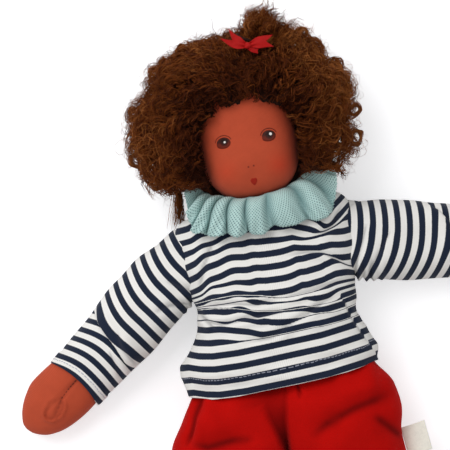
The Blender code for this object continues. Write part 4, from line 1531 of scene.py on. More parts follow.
@dataclass
class Head:
    """The stuffed head: a rolled ball under jersey, with a soft jaw, embroidered eyes and mouth."""

    centre_y: float = 0.107
    centre_z: float = 0.040
    half_width: float = 0.0310
    half_length: float = 0.0448
    half_depth: float = 0.0312
    jaw_fullness: float = 2.7
    crown_fullness: float = 2.05
    eyes: tuple = ((-0.0147, 0.0988), (0.0129, 0.0980))
    mouth: tuple[float, float] = (-0.0010, 0.0727)

    def radial(self, t: Array) -> Array:
        """How full the head is at a share of its length from the middle, chin negative."""
        fullness = np.where(t < 0, self.jaw_fullness, self.crown_fullness)
        return np.clip(1 - np.abs(t) ** fullness, 0.0, 1.0) ** (1 / fullness)

    def points(self, u: Array, v: Array) -> Array:
        """The head's skin from the chin to the crown.

        Args:
            u: the share round it, from the back.
            v: the share of the half turn from the chin.

        Returns:
            The points.
        """
        angle = 2 * math.pi * u - math.pi / 2
        t = -np.cos(math.pi * v)
        full = self.radial(t)
        across, above = rounded(angle, 2.5)
        x = self.half_width * full * across
        y = self.centre_y + self.half_length * t
        z = self.centre_z + self.half_depth * full * above
        front = ease(above, 0.2, 0.8)
        cheeks = bell(np.hypot(np.abs(x) - 0.0165, y - 0.0800), 0.0125)
        brow = bell(y - 0.1010, 0.0090) * bell(np.abs(x) - 0.0141, 0.0090)
        nose = bell(np.hypot(x, (y - 0.0862) * 0.8), 0.0052)
        chin = bell(np.hypot(x, y - 0.0675), 0.0075)
        dent = bell(np.hypot(x + 0.0003, y - 0.0737), 0.0042)
        z = z + front * (0.0013 * cheeks - 0.0008 * brow + 0.0011 * nose + 0.0006 * chin - 0.0005 * dent)
        side = ease(1 - np.abs(above), 0.2, 0.9)
        x = x + np.sign(x) * 0.0006 * side * bell(y - 0.079, 0.014)
        return np.c_[x, y, z]

    def height(self, x: Array, y: Array) -> Array:
        """The height of the face over flat places."""
        full = self.radial((y - self.centre_y) / self.half_length)
        reach = np.clip(np.abs(x) / (self.half_width * full), 0.0, 1.0)
        above = (1 - reach**2.5) ** (1 / 2.5)
        z = self.centre_z + self.half_depth * full * above
        cheeks = bell(np.hypot(np.abs(x) - 0.0165, y - 0.0800), 0.0125)
        brow = bell(y - 0.1010, 0.0090) * bell(np.abs(x) - 0.0141, 0.0090)
        dent = bell(np.hypot(x + 0.0003, y - 0.0737), 0.0042)
        chin = bell(np.hypot(x, y - 0.0675), 0.0075)
        return z + 0.0013 * cheeks - 0.0008 * brow + 0.0006 * chin - 0.0005 * dent

    def patch(self, name: str, outline: Form, lift: float) -> bpy.types.Object:
        """A raised patch of stitches on the face.

        Args:
            name: the piece's name.
            outline: from u and v to flat offsets and centre, v running from the middle out.
            lift: how far the stitches stand up.

        Returns:
            The object.
        """

        def shape(u: Array, v: Array) -> Array:
            flat = outline(u, np.minimum(v / 0.8, 1.0))
            edge = ease(v, 0.62, 1.0)
            z = self.height(flat[:, 0], flat[:, 1]) + lift * (1 - edge) - 0.0004 * edge
            return np.c_[flat, z]

        return lay_grid(name, 40, 14, shape, lambda u, v: outline(u, v))

    def build(self, effects: Effects) -> None:
        """Build the head, the eyes and the mouth."""
        jersey = SkinJersey().build(effects, "face jersey", True)
        head = lay_grid("head_jersey", 130, 110, self.points, lambda u, v: self.points(u, v)[:, :2])
        dress(head, jersey, ("head_skin",), "head")
        for side, centre in zip(Side, self.eyes):
            self.build_eye(effects, side, centre)
        self.build_mouth(effects)

    def build_eye(self, effects: Effects, side: Side, centre: tuple[float, float]) -> None:
        """Build one eye: the iris, its highlight and the lid's line.

        Args:
            effects: the shared groups.
            side: which eye.
            centre: its X and Y.
        """

        def iris(u: Array, v: Array) -> Array:
            turn = 2 * math.pi * u
            tall = np.where(np.sin(turn) > 0, 0.0034, 0.0034)
            corner = 1 + 0.13 * bell(turn - 3.75, 0.4)
            x = centre[0] + 0.0042 * v * np.cos(turn) * corner
            return np.c_[x, centre[1] + tall * v * np.sin(turn) * corner]

        word = side.word
        eye = self.patch(f"eye_stitched_{word}", iris, 0.00055)
        floss = EyeFloss().build(effects, f"eye floss {word}", centre)
        dress(eye, floss, (f"eye_{word}",), "head")
        spark = (centre[0] + (0.0007 if side is Side.LEFT else 0.0012),
                 centre[1] + (0.0004 if side is Side.LEFT else 0.0009))
        size = 0.00075 if side is Side.LEFT else 0.00100
        dot = self.patch(
            f"eye_highlight_{word}",
            lambda u, v: np.c_[spark[0] + size * v * np.cos(2 * math.pi * u),
                               spark[1] + size * v * np.sin(2 * math.pi * u)],
            0.00085,
        )
        white = Spun(dyed(244, 238, 232), 0.5).build(effects, f"highlight floss {word}")
        dress(dot, white, (), "head")
        turn = np.radians(np.linspace(14, 172, 26))
        x = centre[0] + 0.0049 * np.cos(turn)
        y = centre[1] + 0.0004 + 0.0041 * np.sin(turn)
        lid = thread_along(f"eye_lid_line_{word}", [np.c_[x, y, self.height(x, y) + 0.00006]], 0.00022)
        brown = Spun(dyed(96, 26, 14), 0.7).build(effects, f"lid floss {word}", True)
        dress(lid, brown, (), "head")

    def build_mouth(self, effects: Effects) -> None:
        """Build the small mouth, full above and pointed below."""

        def lips(u: Array, v: Array) -> Array:
            turn = 2 * math.pi * u
            taper = 0.70 + 0.30 * np.sin(turn)
            notch = -0.0004 * bell(turn - math.pi / 2, 0.35)
            x = self.mouth[0] + 0.0027 * v * np.cos(turn) * taper
            return np.c_[x, self.mouth[1] + v * (0.0023 * np.sin(turn) + notch)]

        mouth = self.patch("mouth_stitched", lips, 0.0004)
        floss = Spun(dyed(160, 30, 10), 0.8, 0.0, 0.0004).build(effects, "mouth floss")
        dress(mouth, floss, ("mouth",), "head")


# Hair


@dataclass
class Wig:
    """The curly mohair wig: a lumpy depth coloured dark as painted shade, layers of curled locks, loose loops
    and the tied tuft.
    """

    centre: tuple[float, float] = (0.0, 0.1145)
    height: float = 0.034
    depth_up: float = 0.041
    depth_down: float = 0.0325
    steps: int = 22
    # The mass's outline, in millimetres
    outline: tuple = (
        (-46.1, 72.0), (-53.9, 75.0), (-62.0, 78.8), (-68.0, 90.4), (-70.5, 98.1), (-72.0, 104.6),
        (-71.7, 111.7),
        (-69.0, 117.3), (-67.0, 125.0), (-67.0, 130.3), (-63.0, 134.5), (-56.6, 137.5), (-53.7, 140.6),
        (-53.1, 145.9),
        (-50.7, 150.8), (-45.4, 155.3), (-37.9, 157.7), (-33.2, 160.6), (-24.5, 162.8), (-12.9, 164.6),
        (-3.6, 164.4),
        (8.3, 163.6), (25.0, 165.5), (36.0, 164.0), (44.7, 158.6), (51.7, 150.7), (54.8, 145.4),
        (57.0, 136.6),
        (65.8, 130.7), (70.2, 122.4), (68.5, 113.7), (68.1, 106.4), (64.5, 101.4), (63.0, 93.5),
        (66.1, 85.2),
        (63.7, 78.7), (58.5, 74.7), (55.7, 68.9), (48.2, 63.4), (30.0, 61.0), (0.0, 60.0), (-30.0, 62.0),
        (-42.0, 68.0),
    )
    face_rows: tuple = (
        (0.0500, 0.0000), (0.0600, 0.0140), (0.0655, 0.0205), (0.0700, 0.0245), (0.0800, 0.0283),
        (0.0905, 0.0291),
        (0.1000, 0.0290), (0.1060, 0.0272), (0.1110, 0.0240), (0.1145, 0.0195), (0.1172, 0.0140),
        (0.1190, 0.0075),
        (0.1198, 0.0000),
    )
    # The collar's upper line, and the ribbon's place as circles, in millimetres
    collar_line: tuple = ((-52, 74), (-46, 75), (-25, 68.5), (-3, 63), (11, 64), (21, 66), (37, 70),
                          (50, 69), (52, 66))
    ribbon_spots: tuple = ((0.0, 161.0, 6.0), (5, 156, 5.5), (11, 153.5, 4.5), (17, 153.5, 4.5),
                           (23, 153.5, 5.5), (15, 149.5, 3))
    # Loops of curl that stand off the outline: centre, height, radius and starting turn, in mm and degrees
    loops: tuple = (
        (-47.5, 147.5, 44, 4.8, 250), (-41.0, 152.5, 46, 3.6, 30), (-62.5, 127.5, 42, 4.6, 200),
        (-65.5, 110.0, 40, 5.2, 220),
        (-68.0, 99.0, 36, 4.4, 160), (-60.5, 84.0, 34, 3.6, 120), (60.5, 131.0, 42, 5.2, 300),
        (68.0, 104.0, 40, 3.4, 330),
        (66.5, 87.5, 36, 3.8, 20), (52.5, 147.5, 44, 4.0, 10), (-28.5, 158.5, 40, 3.8, 80),
        (46.0, 155.0, 46, 3.8, 60),
        (63.5, 119.0, 36, 4.2, 330),
    )

    def radius(self, angle: Array) -> Array:
        """The outline's distance from the centre."""
        corners = np.array(self.outline) / 1000 - np.array(self.centre)
        turn = np.arctan2(corners[:, 1], corners[:, 0])
        order = np.argsort(turn)
        return np.interp(angle, turn[order], np.hypot(*corners.T)[order], period=2 * math.pi)

    def on_face(self, points: Array, margin: float) -> Array:
        """Which points lie over the face's opening."""
        rows = np.array(self.face_rows)
        half = np.interp(points[..., 1], rows[:, 0], rows[:, 1], left=0.0, right=0.0)
        return (np.abs(points[..., 0] - 0.0004) < half + margin) & (half > 0) & (points[..., 2] > 0.042)

    def on_collar(self, points: Array) -> Array:
        """Which points lie where the collar is seen."""
        line = np.array(self.collar_line) / 1000
        top = np.interp(points[..., 0], line[:, 0], line[:, 1], left=0.0, right=0.0)
        return (points[..., 1] < top) & (points[..., 2] > 0.018)

    def on_ribbon(self, points: Array) -> Array:
        """Which points would hang over the ribbon."""
        over = np.zeros(points.shape[:-1], bool)
        for x, y, reach in self.ribbon_spots:
            over |= np.hypot(points[..., 0] - x / 1000, points[..., 1] - y / 1000) < reach / 1000
        return over & (points[..., 2] > 0.0650)

    def kept(self, threads: Array, shade: Array) -> tuple[Array, Array]:
        """Leave out what falls over the face, the collar or the ribbon, and lay the rest on the floor.

        Args:
            threads: the threads' points.
            shade: each thread's shade.

        Returns:
            The threads and shades that stay.
        """
        hidden = self.on_face(threads, -0.0012) | self.on_collar(threads) | self.on_ribbon(threads)
        clear = ~hidden.any(axis=1)
        threads, shade = threads[clear], shade[clear]
        threads[..., 2] = np.clip(threads[..., 2], 0.0006, 0.0778)
        return threads, np.clip(np.round(shade), 0, 3).astype(int)

    def dome(self, angle: Array, share: Array, upper: Array, lift: Array) -> Array:
        """Points over or under the wig's dome.

        Args:
            angle: the way from the centre.
            share: how far out, 1 at the outline.
            upper: True over the dome, False under it.
            lift: how far they stand off it.

        Returns:
            The points.
        """
        reach = self.radius(angle) * share
        fall = np.sqrt(np.clip(1 - np.clip(share, 0.0, 1.0) ** 2.2, 0.0, 1.0))
        high = self.height + self.depth_up * fall + lift
        low = self.height - self.depth_down * fall**0.6 - 0.3 * lift
        z = np.where(upper, high, low)
        return np.stack([self.centre[0] + reach * np.cos(angle), self.centre[1] + reach * np.sin(angle), z],
                        axis=-1)

    def tone(self, threads: Array, draw: np.random.Generator) -> Array:
        """How light each thread is: darker near the face as painted shade, lighter towards the outline as
        painted light, lighter towards the right, in patches, and by chance.
        """
        middle = threads[:, threads.shape[1] // 2]
        away = np.hypot(middle[:, 0], middle[:, 1] - 0.100)
        outer = 1.5 * ease(away, 0.034, 0.074) + 0.35 * ease(middle[:, 0], 0.01, 0.05)
        return 0.45 + outer + 0.7 * ripple(middle, 0.014, 77) + draw.normal(0, 0.45, len(threads))

    def build(self, effects: Effects) -> None:
        """Build the depth under the locks and the locks."""
        self.build_shaded_depth(effects)
        shades = [Mohair().build(effects, f"mohair shade {number}", number) for number in range(4)]
        part = 0.92
        for number in range(7):
            lines, shade = self.locks(number, int(1400 * part))
            self.sew(f"mohair_locks_{number + 1}", lines, shade, shades, 0.00026 - 0.00001 * number,
                     "mohair_wig")
        lines, shade = self.hairline(int(1250 * part))
        self.sew("mohair_hairline", lines, shade, shades, 0.00017, "mohair_wig")
        lines, shade = self.ringlets()
        self.sew("mohair_ringlets", lines, shade, shades, 0.00018, "mohair_wig")
        lines, shade = self.wisps(int(620 * part))
        self.sew("mohair_flyaways", lines, shade, shades, 0.00011, "mohair_wig")
        lines, shade = self.tuft(int(1150 * part))
        self.sew("topknot_locks", lines, shade, shades, 0.00023, "topknot")

    def build_shaded_depth(self, effects: Effects) -> None:
        """Build the lumpy body of the wig, coloured dark as painted shade, open over the face."""

        def shape(u: Array, v: Array) -> Array:
            angle = 2 * math.pi * u - math.pi
            turn = math.pi * v
            share = np.sin(turn) * 0.86
            upper = turn > math.pi / 2
            reach = self.radius(angle) * share
            up = -np.cos(turn)
            z = self.height + np.where(upper, self.depth_up * 0.86, self.depth_down * 0.97) * up
            points = np.c_[self.centre[0] + reach * np.cos(angle), self.centre[1] + reach * np.sin(angle), z]
            lumps = (ripple(points, 0.016, 31) + 0.5 * ripple(points, 0.007, 32)) * 0.0021
            points[:, 2] += lumps * ease(up, -0.2, 0.4)
            outward = lumps * ease(share, 0.4, 0.8)
            points[:, :2] += outward[:, None] * np.c_[np.cos(angle), np.sin(angle)]
            sunk = self.on_face(np.c_[points[:, :2], np.full_like(z, 0.06)], 0.0025) & upper
            points[sunk, 2] = np.minimum(points[sunk, 2], 0.043)
            low = self.on_collar(points)
            points[low, 2] = np.minimum(points[low, 2], 0.030)
            points[:, 2] = np.maximum(points[:, 2], 0.0006)
            return points

        depth = lay_grid("mohair_shaded_depth", 190, 100, shape, lambda u, v: np.c_[u * 0.4, v * 0.2])
        dress(depth, Mohair().under(effects, "mohair depth"), (), "head")

    def curled(self, paths: Array, size: Array, turns: Array, draw: np.random.Generator) -> Array:
        """Curl lines about their own paths.

        Args:
            paths: for each line, its points.
            size: the curl's radius for each line.
            turns: how often each line turns.
            draw: the source of chance.

        Returns:
            The curled lines.
        """
        share = np.linspace(0, 1, paths.shape[1])
        way = np.gradient(paths, axis=1)
        way /= np.linalg.norm(way, axis=2, keepdims=True) + 1e-12
        first = np.cross(way, np.broadcast_to(np.array([0.0, 0.0, 1.0]), way.shape))
        first /= np.linalg.norm(first, axis=2, keepdims=True) + 1e-9
        second = np.cross(first, way)
        start = draw.uniform(0, 2 * math.pi, len(paths))
        turn = start[:, None] + 2 * math.pi * turns[:, None] * share[None, :] ** 0.9
        grown = size[:, None] * (0.45 + 0.75 * share[None, :])
        return paths + (first * np.cos(turn)[..., None] + second * np.sin(turn)[..., None]) * grown[...,
                                                                                                    None]

    def locks(self, layer: int, count: int) -> tuple[Array, Array]:
        """Draw one layer of locks, in bunches that curl together.

        Args:
            layer: which layer, the lowest first.
            count: how many threads of mohair.

        Returns:
            The threads' points and each one's shade.
        """
        draw = np.random.default_rng(100 + layer)
        bunch = 8
        bunches = count // bunch
        angle = draw.uniform(-math.pi, math.pi, bunches)
        start = np.sqrt(draw.uniform(0.02, 0.86, bunches))
        upper = draw.random(bunches) < (0.9 if layer > 0 else 0.3)
        length = draw.uniform(0.012, 0.021, bunches)
        share = np.linspace(0, 1, self.steps)
        span = np.minimum(start + length / self.radius(angle), draw.normal(0.985, 0.03, bunches))
        span = np.maximum(span, start + 0.06)
        out = start[:, None] + (span - start)[:, None] * share
        swing = draw.normal(0, 0.34, bunches)[:, None] * share**1.3
        lift = (-0.0022 + 0.0006 * layer) + draw.uniform(-0.001, 0.0026, bunches)[:, None] * share
        path = self.dome(angle[:, None] + swing, out, upper[:, None], lift)
        turns = length / draw.uniform(0.0046, 0.0080, bunches)
        curls = self.curled(path, draw.uniform(0.0010, 0.0022, bunches), turns, draw)
        threads = np.repeat(curls, bunch, axis=0)
        spread = draw.normal(0, 0.00062, (len(threads), 1, 3))
        fan = draw.normal(0, 0.0016, (len(threads), 1, 3)) * (share**1.6)[None, :, None]
        wave = ripple(threads.reshape(-1, 3), 0.0050, 60 + layer).reshape(len(threads), self.steps, 1)
        threads = threads + spread + fan + wave * 0.0006
        # the lower layers a little darker, as painted shade deep in the hair
        return self.kept(threads, self.tone(threads, draw) + 0.08 * layer)

    def hairline(self, count: int) -> tuple[Array, Array]:
        """Draw the finer hair that springs from round the face, combed up to the tie above the forehead.

        Args:
            count: how many threads.

        Returns:
            The threads' points and each one's shade.
        """
        draw = np.random.default_rng(640)
        rows = np.array(self.face_rows[2:])
        edge = np.r_[rows * (1, -1), rows[::-1][1:]][:, ::-1]
        reached = np.r_[0.0, np.cumsum(np.linalg.norm(np.diff(edge, axis=0), axis=1))]
        at = draw.uniform(0, reached[-1], count)
        x = np.interp(at, reached, edge[:, 0]) + 0.0004
        y = np.interp(at, reached, edge[:, 1])
        brow = ease(y, 0.112, 0.119)
        radial = np.c_[x, (y - 0.094) * 1.1]
        upwards = np.array([0.0090, 0.1560]) - np.c_[x, y]
        ways = radial / np.linalg.norm(radial, axis=1)[:, None]
        combed = upwards / np.linalg.norm(upwards, axis=1)[:, None]
        ways = ways * (1 - 0.7 * brow)[:, None] + combed * (0.7 * brow)[:, None]
        ways += draw.normal(0, 0.28, (count, 2))
        inset = draw.uniform(-0.0012, 0.0060, count) + brow * draw.uniform(0.0, 0.020, count)
        length = draw.uniform(0.006, 0.013, count) + 0.005 * brow
        share = np.linspace(0, 1, self.steps)
        root = np.c_[x, y] + ways * inset[:, None]
        flat = root[:, None, :] + ways[:, None, :] * (length[:, None] * share)[..., None]
        gap = flat - np.array(self.centre)
        out = np.clip(np.hypot(gap[..., 0], gap[..., 1]) / self.radius(np.arctan2(gap[..., 1], gap[..., 0])),
                      0, 1)
        high = self.height + self.depth_up * np.sqrt(1 - out**2.2) + 0.0006
        low = (0.050 + 0.017 * brow + draw.uniform(0, 0.016, count) * (1 - brow))[:, None]
        rise = np.clip((inset[:, None] + length[:, None] * share) / 0.0075, 0, 1) ** 0.8
        z = low + (np.maximum(high, low) - low) * rise + draw.normal(0, 0.0005, count)[:, None]
        paths = np.concatenate([flat, z[..., None]], axis=2)
        size = draw.uniform(0.0004, 0.0012, count) * (1 - 0.35 * brow)
        threads = self.curled(paths, size, length / draw.uniform(0.0045, 0.0075, count), draw)
        # the hairline darker still, as painted shade beside the face
        return self.kept(threads, self.tone(threads, draw) - 0.25)

    def ringlets(self) -> tuple[Array, Array]:
        """Draw the loops that stand off the outline, and the lock that hangs below the collar.

        Returns:
            The threads' points and each one's shade.
        """
        draw = np.random.default_rng(318)
        share = np.linspace(0, 1, self.steps)
        drawn = []
        for x, y, z, radius, start in self.loops:
            count = 60
            turn = start + draw.normal(0, 50, count)[:, None]
            turn = np.radians(turn + draw.uniform(170, 420, count)[:, None] * share)
            reach = radius * draw.normal(1.0, 0.17, count)[:, None]
            reach = reach * (1.06 - draw.uniform(0.0, 0.5, count)[:, None] * share)
            reach = reach * (1 + 0.22 * np.cos(2 * turn + x))
            high = z + draw.normal(0, 0.9, count)[:, None] + 2.4 * share
            drawn.append(np.stack([x + reach * np.cos(turn), y + reach * np.sin(turn), high + 0 * turn],
                                  axis=-1))
        count = 90
        sway = draw.normal(0, 1.1, (count, 1)) * (1 + share)
        x = -47.5 - 3.6 * share + sway
        y = 77.0 - draw.uniform(19, 24, count)[:, None] * share
        z = 24.0 - 9.0 * share + draw.normal(0, 1.0, (count, 1))
        drawn.append(np.stack([x, y, z + 0 * sway], axis=-1))
        threads = np.concatenate(drawn) / 1000
        threads = threads + ripple(threads.reshape(-1, 3), 0.006, 12).reshape(len(threads), self.steps,
                                                                              1) * 0.0005
        # the loops lighter, as painted light where they stand off the outline
        shade = self.tone(threads, draw) + 0.5
        threads[..., 2] = np.clip(threads[..., 2], 0.0006, 0.0778)
        return threads, np.clip(np.round(shade), 0, 3).astype(int)

    def wisps(self, count: int) -> tuple[Array, Array]:
        """Draw the thin stray hairs that stand off the outline.

        Args:
            count: how many.

        Returns:
            The threads' points and each one's shade.
        """
        draw = np.random.default_rng(901)
        angle = draw.uniform(-math.pi, math.pi, count)
        start = draw.uniform(0.6, 0.97, count)
        share = np.linspace(0, 1, self.steps)
        length = draw.uniform(0.010, 0.024, count)
        out = start[:, None] + (length / self.radius(angle))[:, None] * share
        out = np.minimum(out, 1.0 + draw.uniform(0.0, 0.085, count)[:, None])
        swing = draw.normal(0, 0.22, count)[:, None] * share**1.5
        lift = draw.uniform(0.0, 0.005, count)[:, None] * np.ones(self.steps)
        path = self.dome(angle[:, None] + swing, out, np.ones((count, 1), bool), lift)
        size = draw.uniform(0.0014, 0.0034, count)
        threads = self.curled(path, size, length / draw.uniform(0.007, 0.013, count), draw)
        # the stray hairs lighter, as painted light where they stand off the outline
        return self.kept(threads, self.tone(threads, draw) + 0.7)

    def tuft(self, count: int) -> tuple[Array, Array]:
        """Draw the tied tuft's locks, from the elastic out.

        Args:
            count: how many threads.

        Returns:
            The threads' points and each one's shade.
        """
        draw = np.random.default_rng(771)
        bunch = 6
        bunches = count // bunch
        root = np.array([0.0135, 0.1575, 0.0550])
        share = np.linspace(0, 1, self.steps)
        degrees = np.clip(draw.normal(52, 29, bunches), -8, 104)
        turn = np.radians(degrees)
        rise = np.radians(draw.normal(6, 24, bunches))
        ways = np.c_[np.cos(turn) * np.cos(rise), np.sin(turn) * np.cos(rise), np.sin(rise)]
        tall = np.interp(degrees, (-8, 10, 36, 69, 90, 104), (0.036, 0.029, 0.023, 0.0215, 0.0150, 0.010))
        length = tall * draw.uniform(0.62, 1.0, bunches)
        path = root + ways[:, None, :] * (length[:, None] * share)[..., None]
        path = path + draw.normal(0, 0.0016, (bunches, 1, 3))
        path = path + draw.normal(0, 0.0030, (bunches, 1, 3)) * (share**2)[None, :, None]
        size = draw.uniform(0.0010, 0.0022, bunches)
        curls = self.curled(path, size, length / draw.uniform(0.0048, 0.008, bunches), draw)
        threads = np.repeat(curls, bunch, axis=0) + draw.normal(0, 0.0006, (bunches * bunch, 1, 3))
        threads = threads + draw.normal(0, 0.0014, (len(threads), 1, 3)) * (share**1.6)[None, :, None]
        return self.kept(threads, self.tone(threads, draw) + 0.15)

    def sew(
        self,
        name: str,
        lines: Array,
        shade: Array,
        shades: list[bpy.types.Material],
        radius: float,
        node: str,
    ) -> None:
        """Turn drawn threads into one piece of fine three-sided strands.

        Args:
            name: the piece's name.
            lines: the threads' points.
            shade: each thread's shade.
            shades: the shades' materials.
            radius: a strand's radius.
            node: the frame's node that it stands for.
        """
        profile = bpy.data.curves.new(name + "_section", "CURVE")
        section = profile.splines.new("POLY")
        section.points.add(2)
        section.use_cyclic_u = True
        for point, degrees in zip(section.points, (90, 210, 330)):
            turn = math.radians(degrees)
            point.co = (radius * math.cos(turn), radius * math.sin(turn), 0, 1)
        section_object = bpy.data.objects.new(name + "_section", profile)
        curve = bpy.data.curves.new(name, "CURVE")
        curve.dimensions = "3D"
        curve.bevel_mode = "OBJECT"
        curve.bevel_object = section_object
        curve.use_fill_caps = True
        for finish in shades:
            curve.materials.append(finish)
        steps = lines.shape[1]
        taper = np.interp(np.linspace(0, 1, steps), (0, 0.7, 1), (1.0, 0.95, 0.35)).astype(np.float32)
        for points, tone in zip(lines, shade):
            spline = curve.splines.new("POLY")
            spline.points.add(steps - 1)
            spline.points.foreach_set("co", np.c_[points, np.ones(steps)].astype(np.float32).ravel())
            spline.points.foreach_set("radius", taper)
            spline.material_index = int(tone)
        obj = made_mesh(name, curve)
        bpy.data.objects.remove(section_object)
        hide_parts(node)
        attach(obj, "head")
        LOG.info("%s: %d threads, %d faces", name, len(lines), len(obj.data.polygons))


@dataclass
class Ribbon:
    """The narrow ribbon tied round the tuft: two notched wings, a short tail and the knot."""

    front: tuple[float, float, float] = (0.0108, 0.1537, 0.0690)
    width: float = 0.0078
    thickness: float = 0.00035

    def wing(self, name: str, corners: tuple, notch: float, wide: float = 1.0) -> bpy.types.Object:
        """One wing of ribbon along a curved line.

        Args:
            name: the piece's name.
            corners: points along its middle, in millimetres from the knot.
            notch: how deep its end is cut.
            wide: its width as a share of the ribbon's.

        Returns:
            The object.
        """
        line = np.array(corners, float) / 1000
        spots = np.linspace(0, 1, len(line))
        rows = tuple((spot, *point) for spot, point in zip(spots, line))

        def shape(u: Array, v: Array) -> Array:
            reach = v * (1 - notch * (1 - np.abs(2 * u - 1)) * ease(v, 0.4, 1.0))
            middle = read_rows(rows, reach)
            ahead = read_rows(rows, np.minimum(reach + 0.02, 1.0)) - read_rows(rows,
                                                                               np.maximum(reach - 0.02, 0.0))
            side = np.c_[-ahead[:, 1], ahead[:, 0], np.zeros(len(v))]
            side /= np.linalg.norm(side, axis=1)[:, None]
            pinch = 0.40 + 0.60 * ease(v, 0.0, 0.5)
            across = (u - 0.5) * self.width * wide * pinch
            points = np.array(self.front) + middle + side * across[:, None]
            crimp = np.cos((u - 0.5) * 4 * math.pi) * 0.0007 * (1 - ease(v, 0.0, 0.6))
            points[:, 2] += crimp + 0.0005 * np.cos((u - 0.5) * math.pi)
            return points

        obj = lay_grid(name, 16, 40, shape, lambda u, v: np.c_[u * self.width, v * 0.018])
        return thicken(obj, self.thickness, 0.0)

    def build(self, effects: Effects) -> None:
        """Build the wings, the tail and the knot."""
        satin = Spun(dyed(172, 3, 1), 0.7, 0.0, 0.0005, True, 0.00006, 0.2).build(effects, "red ribbon")
        left = self.wing("ribbon_wing_left",
                         ((0, 0, 0), (-4.2, 1.8, 1.6), (-8.6, 5.0, 1.6), (-12.6, 9.8, 1.8)), 0.34)
        right = self.wing("ribbon_wing_right",
                          ((0, 0, 0), (5, 0.4, 1.4), (10.2, 0.4, 1.4), (15.6, -0.1, 1.6)), 0.26, 0.92)
        tail = self.wing("ribbon_tail",
                         ((-1, -0.6, -0.4), (1.4, -2.0, 0.2), (3.8, -3.2, 0.2), (6.0, -4.2, 0.3)), 0.1, 0.5)
        for piece in (left, right, tail):
            dress(piece, satin, ("bow",), "head")

        def knot(u: Array, v: Array) -> Array:
            turn, tilt = 2 * math.pi * u, math.pi * v
            fold = 1 + 0.10 * np.cos(3 * turn + 1.0)
            x = self.front[0] + 0.0022 * np.sin(tilt) * np.cos(turn) * fold
            y = self.front[1] + 0.0019 * np.sin(tilt) * np.sin(turn) * fold
            return np.c_[x, y, self.front[2] + 0.0009 - 0.0019 * np.cos(tilt)]

        tied = lay_grid("ribbon_knot", 48, 24, knot, lambda u, v: np.c_[u * 0.017, v * 0.008])
        dress(tied, satin, ("bow_knot",), "head")


# Collar


